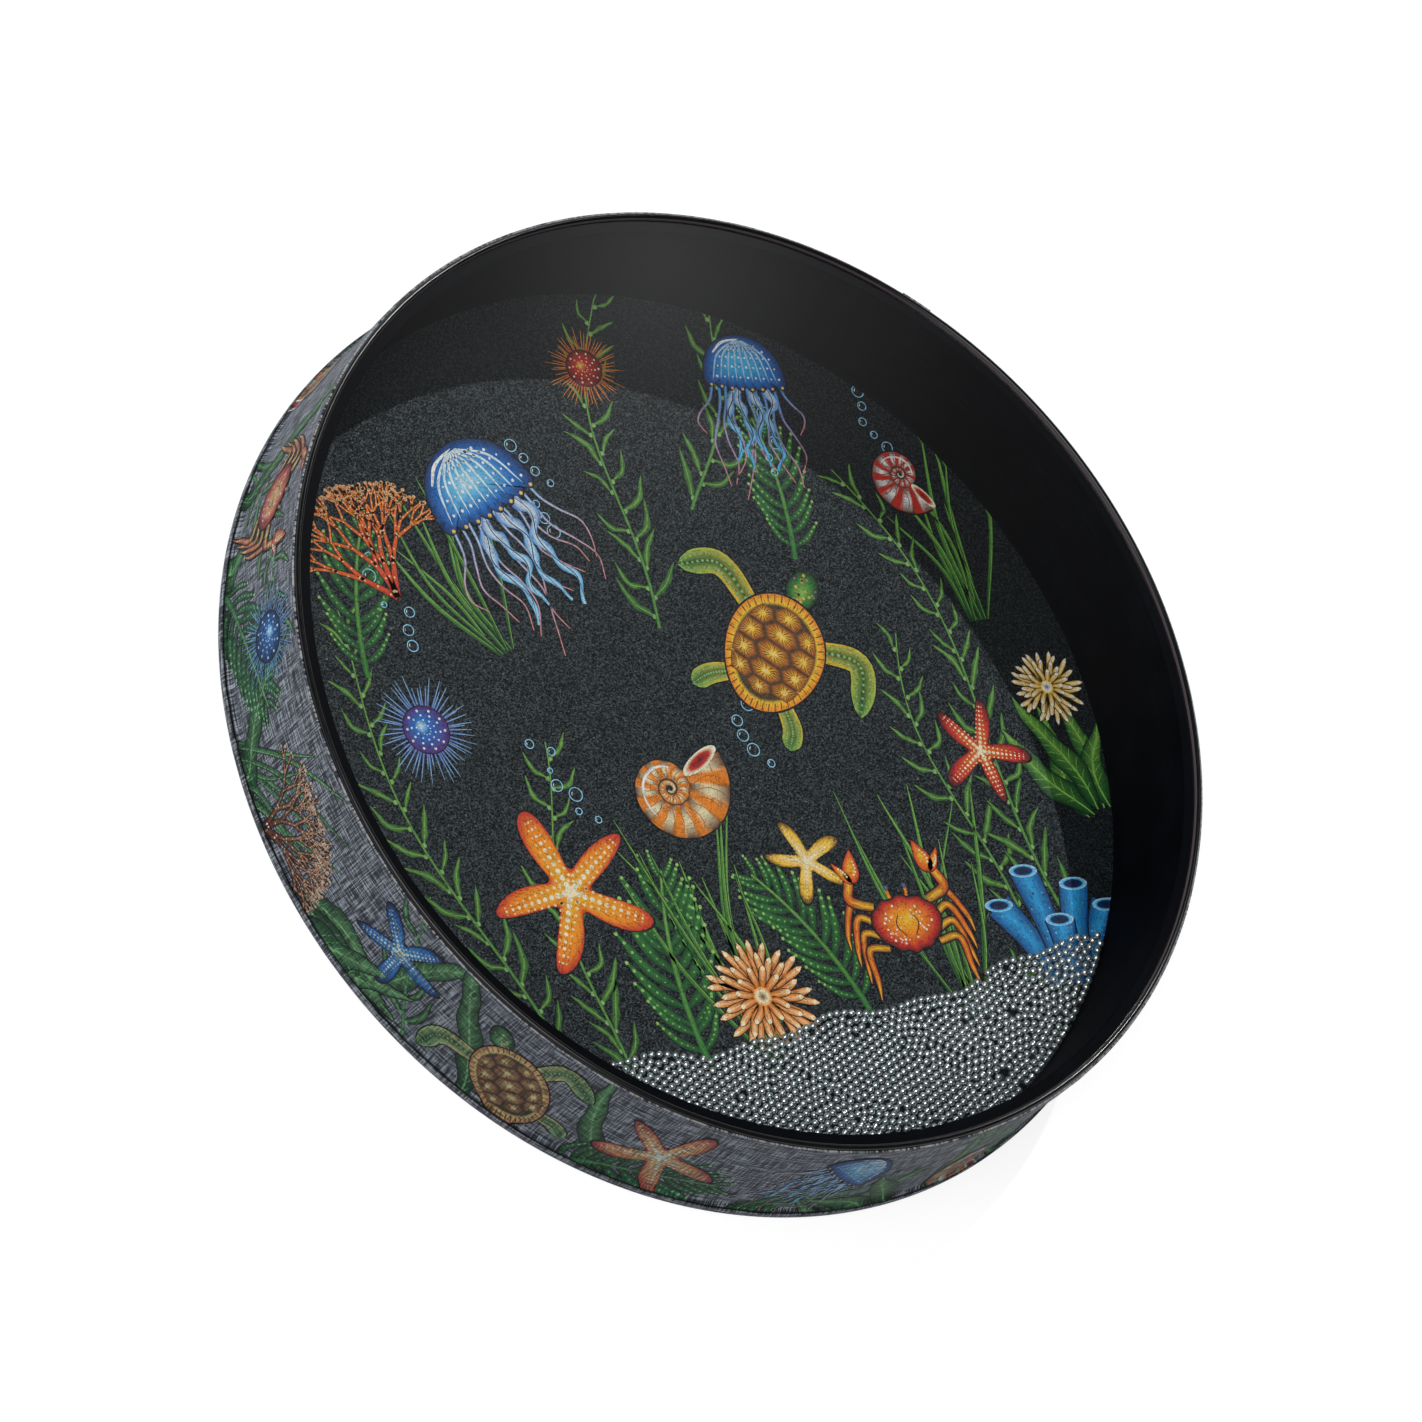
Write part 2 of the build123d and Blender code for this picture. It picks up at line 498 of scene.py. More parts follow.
def smooth_line(points, count):
    """Points along a smooth curve through a few guide points."""
    guide = np.asarray(points, float)
    guide = np.vstack([2 * guide[0] - guide[1], guide, 2 * guide[-1] - guide[-2]])
    at = np.linspace(0, len(guide) - 3, count)
    k = np.minimum(at.astype(int), len(guide) - 4)
    f = (at - k)[:, None]
    a, b, c, d = guide[k], guide[k + 1], guide[k + 2], guide[k + 3]
    square, cube = 2 * a - 5 * b + 4 * c - d, 3 * b - a - 3 * c + d
    return 0.5 * (2 * b + (c - a) * f + square * f ** 2 + cube * f ** 3)


def directions(path):
    """Unit vectors along a path."""
    run = np.gradient(path, axis=0)
    return run / np.maximum(np.linalg.norm(run, axis=1), 1e-9)[:, None]


def leftward(way):
    """The vector square to another, on its left."""
    return np.array([-way[1], way[0]])


def swung(way, angle):
    """A vector turned by an angle."""
    c, s = math.cos(angle), math.sin(angle)
    return np.array([way[0] * c - way[1] * s, way[0] * s + way[1] * c])


def turned_by(degrees):
    """Matrix that turns rows of points."""
    c, s = math.cos(math.radians(degrees)), math.sin(math.radians(degrees))
    return np.array([[c, s], [-s, c]])


def full_turn(count):
    return np.linspace(0, 2 * math.pi, count, endpoint=False)


def oval(turn, wide, tall):
    return np.column_stack([wide * np.cos(turn), tall * np.sin(turn)])


class Print:
    """Flat inked shapes in millimetres, painted one over the other."""

    def __init__(self):
        self.points, self.colours, self.strokes, self.faces = [], [], [], []
        self.count = 0

    def add(self, points, colours, strokes, faces, level):
        points = np.asarray(points, float)
        self.points.append(np.column_stack([points, np.full(len(points), float(level))]))
        self.colours.append(np.broadcast_to(np.asarray(colours, float), (len(points), 3)).copy())
        self.strokes.append(np.asarray(strokes, float))
        self.faces += [[i + self.count for i in face] for face in faces]
        self.count += len(points)

    def ribbon(self, path, left, right, edge, mid, level):
        """Band along a path: edge and mid are its colours across, one or one for each point."""
        path = np.asarray(path, float)
        n = len(path)
        run = directions(path)
        side = np.column_stack([-run[:, 1], run[:, 0]])
        left, right = np.broadcast_to(left, n)[:, None], np.broadcast_to(right, n)[:, None]
        # Each ribbon begins at another place of the brush grain
        shift = path[0, 0] * 7.3 + path[0, 1] * 3.1
        far = shift + np.concatenate([[0], np.cumsum(np.linalg.norm(np.diff(path, axis=0), axis=1))])
        edge, mid = np.broadcast_to(edge, (n, 3)), np.broadcast_to(mid, (n, 3))
        points = np.concatenate([path + side * left, path, path - side * right])
        asides = (left[:, 0], np.zeros(n), -right[:, 0])
        strokes = np.concatenate([np.column_stack([far, aside]) for aside in asides])
        faces = []
        for first in (0, n):
            for i in range(first, first + n - 1):
                faces.append([i + n, i + n + 1, i + 1, i])
        self.add(points, np.concatenate([edge, mid, edge]), strokes, faces, level)

    def band(self, path, half, edge, mid, level):
        """Ribbon that is as wide to either side."""
        self.ribbon(path, half, half, edge, mid, level)

    def black_band(self, path, half, level):
        """Dark ground under a band, which shows as a line round it."""
        self.band(path, half, INK_BLACK, INK_BLACK, level)

    def line(self, path, width, colour, level, taper=True):
        n = len(path)
        t = np.linspace(0, 1, n)
        half = width / 2 * (np.sin(np.pi * (0.12 + 0.88 * t)) ** 0.6 if taper else np.ones(n))
        self.band(path, half, colour, colour, level)

    def patch(self, outline, centre, stops, level, step=4.5):
        """Filled shape, coloured from its centre to its outline by (share, colour) stops."""
        outline, centre = np.asarray(outline, float), np.asarray(centre, float)
        n = len(outline)
        reach = np.linalg.norm(outline - centre, axis=1)
        rings = max(int(reach.max() / step), 1) + 1
        shares = sorted({round(s, 4) for s, _ in stops} | set(np.round(np.linspace(0, 1, rings), 4)))
        turn = np.unwrap(np.arctan2(*(outline - centre).T[::-1]))
        points, colours, strokes = [], [], []
        for s in shares:
            lows = [k for k in range(len(stops)) if stops[k][0] <= s + 1e-6]
            k = min(lows[-1] if lows else 0, len(stops) - 2)
            f = (s - stops[k][0]) / max(stops[k + 1][0] - stops[k][0], 1e-6)
            inner, outer = np.broadcast_to(stops[k][1], (n, 3)), np.broadcast_to(stops[k + 1][1], (n, 3))
            points.append(centre + (outline - centre) * s)
            colours.append(blend(inner, outer, np.full(n, f)))
            strokes.append(np.column_stack([reach * s + centre[0], turn * reach.mean() * 0.8 + centre[1]]))
        faces = []
        for k in range(len(shares) - 1):
            for i in range(n):
                j = (i + 1) % n
                a, b, c, d = k * n + i, k * n + j, (k + 1) * n + j, (k + 1) * n + i
                faces.append([b, c, d] if shares[k] == 0 else [a, b, c, d])
        x, y = outline.T
        if np.sum(x * np.roll(y, -1) - np.roll(x, -1) * y) > 0:
            faces = [f[::-1] for f in faces]
        self.add(np.concatenate(points), np.concatenate(colours), np.concatenate(strokes), faces, level)

    def black_patch(self, outline, centre, level):
        """Dark ground under a patch, which shows as a line round it."""
        self.patch(outline, centre, [(0, INK_BLACK), (1, INK_BLACK)], level)

    def dot(self, place, size, colour, level, sides=8):
        ring = np.asarray(place) + oval(full_turn(sides), size, size)
        self.patch(ring, place, [(0, blend(colour, WHITE, 0.25)), (1, colour)], level, step=1e3)

    def stamp(self, other, x, y, turn=0.0, flip=False, level=0):
        """Puts another print's shapes into this one, turned and moved."""
        base = np.concatenate(other.points)
        flat = base[:, :2] * ((-1.0 if flip else 1.0), 1.0)
        flat = flat @ turned_by(turn) + (x, y)
        self.points.append(np.column_stack([flat, base[:, 2] + level]))
        self.colours.append(np.concatenate(other.colours))
        self.strokes.append(np.concatenate(other.strokes))
        self.faces += [[i + self.count for i in (face[::-1] if flip else face)] for face in other.faces]
        self.count += len(flat)


# Motifs, each drawn upright about its own middle or from its own root

def kelp_blade(rng, length, width, lean):
    """Broad blade with a ruffled edge, a pale rib and slanting veins."""
    art = Print()
    n = max(int(length / 4), 8)
    t = np.linspace(0, 1, n)
    sway, phase = rng.uniform(0.04, 0.085) * length, rng.uniform(0, 6.28)
    path = np.column_stack([sway * (np.sin(4.6 * t + phase) - math.sin(phase)) + lean * t ** 1.6, length * t])
    body = width / 2 * (np.sin(np.pi * np.clip(t, 0, 1) ** 0.75) ** 0.8 + 0.06) * (1 - 0.2 * t)
    left = body * (1 + 0.2 * np.sin(9.5 * np.pi * t * length / 110 + phase))
    right = body * (1 + 0.2 * np.sin(9.5 * np.pi * t * length / 110 + phase + 2.2))
    art.ribbon(path, left + 0.5, right + 0.5, INK_BLACK, INK_BLACK, 0)
    art.ribbon(path, left, right, blend(DEEP_GREEN, GREEN, t), blend(GREEN, LIME, t ** 1.5), 1)
    run = directions(path)
    for i in range(2, n - 2):
        for sign, half in ((1, left[i]), (-1, right[i])):
            tip = path[i] + run[i] * half * 0.9 + sign * leftward(run[i]) * half * 0.86
            vein = smooth_line([path[i], (path[i] + tip) / 2 + run[i] * half * 0.1, tip], 4)
            art.line(vein, 0.45, blend(LEAF, LIME, 0.35 + 0.5 * t[i]), 2)
    art.line(path, 0.9, blend(LEAF, LIME, 0.85), 3)
    return art


def kelp_clump(rng, blades, length, width, spread):
    """Blades that fan out from one root."""
    art = Print()
    for k in range(blades):
        share = (k - (blades - 1) / 2) / max(blades - 1, 1)
        tall = length * rng.uniform(0.62, 1.0) * (1 - 0.25 * abs(share))
        blade = kelp_blade(rng, tall, width * rng.uniform(0.75, 1.15), share * spread * 0.5)
        rise, flip = rng.uniform(-3, 3), rng.random() < 0.5
        art.stamp(blade, share * width * 1.1, rise, -share * spread * 0.42, flip, 4 * (k % 3))
    return art


def sea_fern(rng, length, pairs, bend):
    """Curved stem with paired leaflets that brighten to beaded tips."""
    art = Print()
    t = np.linspace(0, 1, 24)
    stem = np.column_stack([bend * t ** 2, length * t * (1 - 0.06 * t)])
    run = directions(stem)
    for k in range(pairs):
        at = 0.1 + 0.86 * k / (pairs - 1)
        i = int(at * 23)
        for sign in (1, -1):
            reach = length * 0.30 * (math.sin(math.pi * (0.18 + 0.74 * at)) ** 0.9) * rng.uniform(0.85, 1.1)
            way = swung(run[i], sign * math.radians(58 - 22 * at + rng.uniform(-5, 5)))
            tip = stem[i] + way * reach + run[i] * reach * 0.28
            leaf = smooth_line([stem[i], stem[i] + way * reach * 0.55, tip], 9)
            s = np.linspace(0, 1, 9)
            plump = 0.6 + 0.4 * math.sin(math.pi * at)
            half = 0.028 * length * np.sin(np.pi * (0.1 + 0.86 * s)) ** 0.8 * plump
            art.black_band(leaf, half + 0.3, 0)
            art.band(leaf, half, blend(DEEP_GREEN, GREEN, s), blend(GREEN, LEAF, s), 1 + k % 2)
            for m in range(2, 9):
                bead = leaf[m] + rng.uniform(-0.2, 0.2)
                art.dot(bead, 0.26 + 0.3 * s[m] * half.max(), blend(LEAF, LIME, s[m]), 3, 6)
    art.band(stem, 0.016 * length * (1 - 0.7 * t) + 0.25, GREEN, blend(LEAF, LIME, t), 4)
    return art


def sea_star(rng, size, edge, body, heart):
    """Five bent arms with beaded rows."""
    art = Print()
    turn = full_turn(140) + math.pi / 2
    wave = 0.5 + 0.5 * np.cos(5 * (turn - math.pi / 2))
    reach = size * (0.27 + 0.73 * wave ** 1.7)
    twist = 0.16 * np.sin(2 * turn + rng.uniform(0, 6)) * (reach / size) ** 2
    outline = oval(turn + twist, reach, reach)
    art.black_patch(outline * (1 + 1.2 / size), (0, 0), 0)
    art.patch(outline, (0, 0), [(0, heart), (0.35, blend(heart, body, 0.6)), (0.78, body), (1, edge)], 1)
    for k in range(5):
        tip = outline[k * 28]
        for row, (aside, big) in enumerate(((0, 0.036), (0.075, 0.022), (-0.075, 0.022))):
            for m in range(1, 11):
                f = m / 11.5
                fade = 1 - f
                tone = blend(CREAM, WHITE, 0.4 * fade) if row == 0 else blend(AMBER, CREAM, 0.6)
                bead = tip * f + leftward(tip) * aside * (0.45 + fade)
                art.dot(bead, size * big * (0.35 + 0.75 * fade), tone, 2, 7)
    for k in range(0, 140, 2):
        inner = outline[k] * 0.86
        art.line([outline[k] * 0.985, (outline[k] * 0.985 + inner) / 2, inner], 0.35, edge, 2)
    art.dot((0, 0), size * 0.07, CREAM, 3, 10)
    return art


def jelly(rng, size, dark, body, pale):
    """Domed bell with ribs and a scalloped hem, over ruffled arms and trailing threads."""
    art = Print()
    for k in range(11):
        x = size * (-0.42 + 0.84 * k / 10)
        reach = size * rng.uniform(0.9, 1.75) * (1 - 0.35 * abs(k - 5) / 5)
        guide = [(x, 0.02 * size)]
        for m in range(1, 6):
            drift = size * 0.07 * math.sin(1.4 * m + k) * (m / 3)
            guide.append((x * (1 + 0.12 * m) + drift, -reach * m / 5))
        s = np.linspace(0, 1, 34)
        thread = smooth_line(guide, 34)
        art.band(thread, 0.75 - 0.5 * s, blend(body, RED, 0.7 * s), blend(pale, ORANGE, 0.75 * s), 1)
    for k in range(4):
        x = size * (-0.2 + 0.4 * k / 3)
        reach = size * rng.uniform(0.75, 1.05)
        guide = [(x, 0.03 * size)]
        for m in range(1, 6):
            guide.append((x * 1.2 + size * 0.055 * math.sin(2.1 * m + 2 * k), -reach * m / 5))
        path = smooth_line(guide, 36)
        s = np.linspace(0, 1, 36)
        ruff = size * 0.05 * (1 - 0.75 * s)
        left, right = (ruff * (1.1 + 0.8 * np.sin(22 * s + k + lag)) for lag in (0, 2.4))
        art.ribbon(path, left, right, blend(body, SKY, s), blend(WHITE, pale, s), 2 + k % 2)
        art.line(path, 0.5, dark, 4)
    turn = np.linspace(0, math.pi, 40)
    dome = np.column_stack([0.5 * size * np.cos(turn), 0.56 * size * np.sin(turn) ** 0.85])
    hem_x = np.linspace(-0.5, 0.5, 41)[1:-1] * size
    scallop = np.abs(np.sin(np.linspace(0, 8 * math.pi, 41)[1:-1]))
    hem = np.column_stack([hem_x, -0.055 * size * scallop - 0.05 * size * np.cos(hem_x / size * math.pi)])
    bell = np.vstack([dome, hem])
    centre = np.array([-0.06 * size, 0.24 * size])
    art.black_patch((bell - centre) * (1 + 1.4 / size) + centre, centre, 5)
    art.patch(bell, centre, [(0, pale), (0.3, blend(pale, SKY, 0.8)), (0.72, body), (1, dark)], 6)
    for k in range(9):
        f = -0.4 + 0.8 * k / 8
        guide = [(f * 0.12 * size, 0.5 * size), (f * 0.72 * size, 0.32 * size), (f * size, 0.0)]
        rib = smooth_line(guide, 12)
        art.line(rib, 0.022 * size, blend(pale, WHITE, 0.5), 7)
        for m in range(2, 12, 2):
            art.dot(rib[m] + (size * 0.045, 0), size * 0.010 * (1 + 0.6 * rng.random()), WHITE, 7, 7)
    for k in range(8):
        art.dot(hem[2 + 5 * k] + (0, 0.022 * size), 0.017 * size, AMBER, 8, 8)
    gleam = [(-0.34 * size, 0.34 * size), (-0.2 * size, 0.47 * size), (0.02 * size, 0.52 * size)]
    art.line(smooth_line(gleam, 10), 0.03 * size, WHITE, 8)
    return art


def claw_outline(length, width):
    """Pointed oval from its root upwards, broadest in its lower half."""
    t = np.linspace(0, 1, 24)
    half = width / 2 * np.sin(np.pi * t ** 0.62) ** 0.9
    rising = np.column_stack([half, length * t])
    falling = np.column_stack([-half[::-1], length * t[::-1]])
    return np.vstack([rising, falling[1:-1]])


def turtle(rng, size):
    """Seen from above: plated shell, four flippers and a blunt head."""
    art = Print()

    def flipper(points, width):
        path = smooth_line([(x * size, y * size) for x, y in points], 18)
        s = np.linspace(0, 1, 18)
        body = 0.55 + 0.45 * np.sin(np.pi * (0.15 + 0.6 * s))
        half = width / 2 * body * np.clip((1 - s) * 5, 0, 1) ** 0.5
        art.black_band(path, half + 0.7, 0)
        art.band(path, half, blend(AMBER, LIME, s), blend(GREEN, DEEP_GREEN, 0.5 * s), 1)
        run = directions(path)
        for i in range(1, 17):
            for f in (-0.55, 0.0, 0.55):
                tone = blend(LEAF, LIME, 0.3 + 0.5 * rng.random())
                scale = path[i] + leftward(run[i]) * half[i] * f
                art.dot(scale, width * 0.085 * (1 - 0.4 * s[i]), tone, 2, 6)

    flipper([(0.25, 0.2), (0.58, 0.3), (0.74, -0.06)], 0.19 * size)
    flipper([(-0.25, 0.2), (-0.6, 0.36), (-0.86, 0.16)], 0.19 * size)
    flipper([(0.2, -0.32), (0.34, -0.46), (0.38, -0.62)], 0.15 * size)
    flipper([(-0.2, -0.32), (-0.34, -0.45), (-0.42, -0.6)], 0.15 * size)
    turn = full_turn(44)
    head = oval(turn, 0.115 * size, 0.155 * size) + (0, 0.56 * size)
    art.black_patch(head + (head - (0, 0.56 * size)) * 0.06, (0, 0.56 * size), 0)
    art.patch(head, (0, 0.54 * size), [(0, LIME), (0.6, LEAF), (1, DEEP_GREEN)], 1)
    for _ in range(22):
        a, f = rng.uniform(0, 6.28), rng.uniform(0.15, 0.8)
        spot = (0.115 * size * f * math.cos(a), 0.56 * size + 0.155 * size * f * math.sin(a))
        art.dot(spot, size * 0.013, blend(GREEN, AMBER, rng.random()), 2, 6)
    for sign in (1, -1):
        art.dot((sign * 0.084 * size, 0.61 * size), 0.02 * size, INK_BLACK, 2, 8)
    breadth = 0.36 * size * np.cos(turn) * (1 + 0.10 * np.sin(turn))
    shield = np.column_stack([breadth, 0.47 * size * np.sin(turn) - 0.02 * size])
    art.black_patch(shield * 1.035, (0, 0), 3)
    olive = blend(BROWN, DEEP_GREEN, 0.5)
    art.patch(shield, (0, 0), [(0, BROWN), (0.8, olive), (0.86, AMBER), (1, ORANGE)], 4)
    for k in range(44):
        art.line([shield[k] * 0.865, shield[k] * 0.93, shield[k] * 0.995], 0.5, BROWN, 5, False)

    def plate(points, tone):
        ring = []
        for a, b in zip(points, points[1:] + points[:1]):
            for f in np.linspace(0, 1, 6)[:-1]:
                ring.append(np.asarray(a) * (1 - f) + np.asarray(b) * f)
        ring = np.array(ring) * size
        centre = ring.mean(0)
        ring = centre + (ring - centre) * 0.91
        stops = [(0, blend(AMBER, CREAM, tone)), (0.35, AMBER), (0.75, blend(ORANGE, BROWN, 0.45)),
                 (1, BROWN)]
        art.patch(ring, centre, stops, 5)
        for p in ring[::2]:
            ray = [centre + (p - centre) * f for f in (0.3, 0.6, 0.95)]
            art.line(ray, 0.45, blend(BROWN, INK_BLACK, 0.3), 6)

    def rim(y):
        return 0.85 * 0.36 * math.sqrt(max(1 - ((y + 0.02) / 0.44) ** 2, 0.02))

    rows = [0.37, 0.22, 0.06, -0.10, -0.25, -0.37]
    wide = [0.07, 0.115, 0.125, 0.12, 0.095, 0.05]
    for k in range(5):
        high, low, mid = rows[k], rows[k + 1], (rows[k] + rows[k + 1]) / 2
        a, b, out = wide[k] * 0.75, wide[k + 1] * 0.75, (wide[k] + wide[k + 1]) / 2 + 0.03
        plate([(-a, high), (a, high), (out, mid), (b, low), (-b, low), (-out, mid)], 0.3 + 0.1 * k)
    for sign in (1, -1):
        for k in range(4):
            top, low = (rows[k] + rows[k + 1]) / 2, (rows[k + 1] + rows[k + 2]) / 2
            mid = (top + low) / 2
            a, b = (wide[k] + wide[k + 1]) / 2 + 0.03, (wide[k + 1] + wide[k + 2]) / 2 + 0.03
            corners = [(a, top), (rim(top), top), (rim(mid), mid), (rim(low), low), (b, low)]
            corners = [(sign * x, y) for x, y in corners + [(wide[k + 1] * 0.75, rows[k + 1])]]
            plate(corners if sign > 0 else corners[::-1], 0.2 + 0.15 * k)
    return art


def crab(rng, size):
    """Seen from above: wide body, eight jointed legs and two raised claws."""
    art = Print()

    def limb(points, widths, level):
        path = smooth_line([(x * size, y * size) for x, y in points], 20)
        half = np.interp(np.linspace(0, 1, 20), np.linspace(0, 1, len(widths)), widths) * size
        s = np.linspace(0, 1, 20)
        banding = blend(ORANGE, AMBER, 0.5 + 0.5 * np.sin(9 * s))
        art.black_band(path, half + 0.6, level)
        art.band(path, half, blend(MAROON, RED, s), banding, level + 1)

    for sign in (1, -1):
        for k in range(4):
            y = 0.12 - 0.11 * k
            out, down = 0.66 - 0.045 * k, -0.05 - 0.17 * k
            leg = [(sign * 0.28, y), (sign * 0.5, y + 0.16 - 0.05 * k), (sign * out, down + 0.06),
                   (sign * (out + 0.03), down - 0.12)]
            limb(leg, [0.035, 0.036, 0.026, 0.004], 2 * (k % 2))
        limb([(sign * 0.3, 0.2), (sign * 0.52, 0.3), (sign * 0.47, 0.48)], [0.045, 0.05, 0.045], 4)
        base = np.array([sign * 0.44 * size, 0.46 * size])
        for lean, long, wide in ((sign * 16, 0.34, 0.17), (-sign * 34, 0.27, 0.09)):
            claw = claw_outline(long * size, wide * size) @ turned_by(lean) + base
            middle = claw.mean(0)
            art.black_patch(middle + (claw - middle) * 1.07, middle, 6)
            art.patch(claw, middle, [(0, AMBER), (0.5, ORANGE), (1, RED)], 7)
            for m in range(5):
                art.dot(middle + (claw[4 * m + 2] - middle) * 0.55, size * 0.012, CREAM, 8, 6)
    turn = full_turn(60)
    breadth = 0.37 * size * np.cos(turn) * (1 + 0.12 * np.sin(turn))
    depth = 0.27 * size * np.sin(turn) * (1 + 0.05 * np.cos(12 * turn))
    body = np.column_stack([breadth, depth])
    art.black_patch(body * 1.045, (0, 0), 8)
    art.patch(body, (0, 0.05 * size), [(0, AMBER), (0.45, ORANGE), (0.85, RED), (1, MAROON)], 9)
    for _ in range(46):
        a, f = rng.uniform(0, 6.28), math.sqrt(rng.uniform(0.02, 0.72))
        spot = (0.33 * size * f * math.cos(a), 0.24 * size * f * math.sin(a))
        art.dot(spot, size * rng.uniform(0.006, 0.015), blend(CREAM, WHITE, rng.random()), 10, 6)
    for sign in (1, -1):
        stalk = [(sign * x * size, y * size) for x, y in ((0.09, 0.26), (0.1, 0.31), (0.1, 0.36))]
        art.line(stalk, 0.03 * size, ORANGE, 8, False)
        art.dot((sign * 0.1 * size, 0.37 * size), 0.028 * size, NAVY, 10, 10)
        fold = [(sign * x * size, y * size) for x, y in ((0.05, -0.12), (0.12, 0.0), (0.06, 0.12))]
        art.line(smooth_line(fold, 10), 0.014 * size, MAROON, 10)
    return art


def coiled_shell(size, stripe, ground):
    """Chambered spiral with flame stripes that narrow to its middle."""
    art = Print()
    growth = math.log(3.0) / (2 * math.pi)
    turn = np.linspace(-5.0 * math.pi, 0, 170)
    far = size * 0.62 * np.exp(growth * turn)
    path = oval(turn, far, far)
    half = far * 0.5
    wave = np.sin(turn * 11 + 0.6 * np.sin(turn * 3))
    flame = np.clip(wave * 2.2 + 0.35, 0, 1) * np.clip((turn / math.pi + 4.2) * 1.2, 0, 1)
    art.black_band(path, half + 0.7, 0)
    edge = blend(blend(BROWN, MAROON, 0.3), stripe, flame * 0.8)
    art.band(path, half, edge, blend(ground, stripe, flame), 1)
    for k in range(50, 170, 3):
        normal = path[k] / np.linalg.norm(path[k])
        a, b = path[k] - normal * half[k] * 0.9, path[k] + normal * half[k] * 0.94
        wall = smooth_line([a, (a + b) / 2 + leftward(normal) * half[k] * 0.3, b], 7)
        art.line(wall, 0.4, blend(BROWN, stripe, 0.4), 2)
    seam, gleam = far - half, far + half * 0.35
    art.line(oval(turn, seam, seam)[40:], 0.8, blend(BROWN, INK_BLACK, 0.5), 3)
    art.line(oval(turn, gleam, gleam)[110:140], size * 0.035, WHITE, 3)
    mouth = oval(full_turn(40), 0.32 * size, 0.1 * size) + (size * 0.62, 0.01 * size)
    art.patch(mouth, mouth.mean(0), [(0, MAROON), (0.6, RED), (0.85, CREAM), (1, WHITE)], 4)
    return art


def fan_coral(rng, size, deep, tip):
    """Flat fan of forking twigs with beads along them."""
    art = Print()

    def twig(x, y, lean, long, wide, depth):
        bend = rng.uniform(-0.18, 0.18)
        end = (x + long * math.sin(lean + bend), y + long * math.cos(lean + bend))
        path = smooth_line([(x, y), ((x + end[0]) / 2 + bend * long * 0.25, (y + end[1]) / 2), end], 6)
        s = np.linspace(0, 1, 6)
        start, finish = 1 - depth / 5, 1 - (depth - 1) / 5
        tone = start + (finish - start) * s
        half = wide / 2 * (1 - 0.28 * s)
        art.black_band(path, half + 0.35, 0)
        art.band(path, half, blend(deep, tip, 0.6 * tone), blend(deep, tip, tone + 0.15), 1 + depth % 2)
        for m in (1, 3, 5):
            art.dot(path[m] + rng.uniform(-0.3, 0.3), 0.24 * half[m] + 0.22, blend(tip, CREAM, 0.6), 3, 6)
        if depth > 1:
            forks = (-1, 1) if rng.random() < 0.62 else (-1.15, 0, 1.15)
            for f in forks:
                swing = lean * 0.97 + f * rng.uniform(0.24, 0.44)
                twig(*end, swing, long * rng.uniform(0.72, 0.86), wide * 0.72, depth - 1)
        else:
            art.dot(end, half[-1] + 0.55, blend(tip, CREAM, 0.35), 3, 8)

    for lean in (-0.62, -0.2, 0.2, 0.62):
        twig(0, 0, lean + rng.uniform(-0.08, 0.08), size * 0.27, size * 0.052, 5)
    return art


def urchin(rng, size, deep, body, tip):
    """Round body in a ring of fine spines."""
    art = Print()
    for k in range(54):
        a = 2 * math.pi * k / 54 + rng.uniform(-0.05, 0.05)
        reach = size * rng.uniform(0.72, 1.0)
        way = np.array([math.cos(a), math.sin(a)])
        s = np.linspace(0, 1, 8)
        path = way * (0.3 * size + (reach - 0.3 * size) * s)[:, None]
        art.band(path, size * 0.024 * (1 - 0.85 * s), blend(deep, body, s), blend(body, tip, s), k % 2)
    disc = oval(full_turn(48), 0.42 * size, 0.42 * size)
    art.black_patch(disc * 1.05, (0, 0), 2)
    art.patch(disc, (-0.08 * size, 0.1 * size), [(0, tip), (0.3, body), (1, deep)], 3)
    for ring in range(1, 5):
        for k in range(10):
            a, far = 2 * math.pi * k / 10 + 0.1 * ring, 0.088 * size * ring
            bead = (far * math.cos(a), far * math.sin(a))
            art.dot(bead, size * (0.010 + 0.004 * ring), blend(tip, WHITE, 0.5), 4, 6)
    return art


def anemone(rng, size, deep, body, tip):
    """Tuft of blunt tentacles round a pale mouth."""
    art = Print()
    for ring, (count, reach) in enumerate(((22, 1.0), (16, 0.76), (11, 0.52))):
        for k in range(count):
            a = 2 * math.pi * (k + 0.5 * ring) / count + rng.uniform(-0.08, 0.08)
            bow = rng.uniform(-0.16, 0.16)
            far = size * reach * rng.uniform(0.9, 1.05)
            guide = [(0.12 * size, a), (0.55 * far, a + bow), (far, a)]
            path = smooth_line([(r * math.cos(b), r * math.sin(b)) for r, b in guide], 12)
            s = np.linspace(0, 1, 12)
            half = size * 0.062 * np.sqrt(np.clip(1 - s ** 8, 0.02, 1)) * (0.75 + 0.35 * s)
            art.black_band(path, half + 0.4, 3 * ring)
            art.band(path, half, blend(deep, body, s), blend(body, tip, s ** 2), 3 * ring + 1)
            art.dot(path[-2], half[-3] * 0.75, tip, 3 * ring + 2, 8)
    mouth = oval(full_turn(24), 0.17 * size, 0.17 * size)
    art.patch(mouth, (0, 0), [(0, deep), (0.6, tip), (1, body)], 9)
    return art


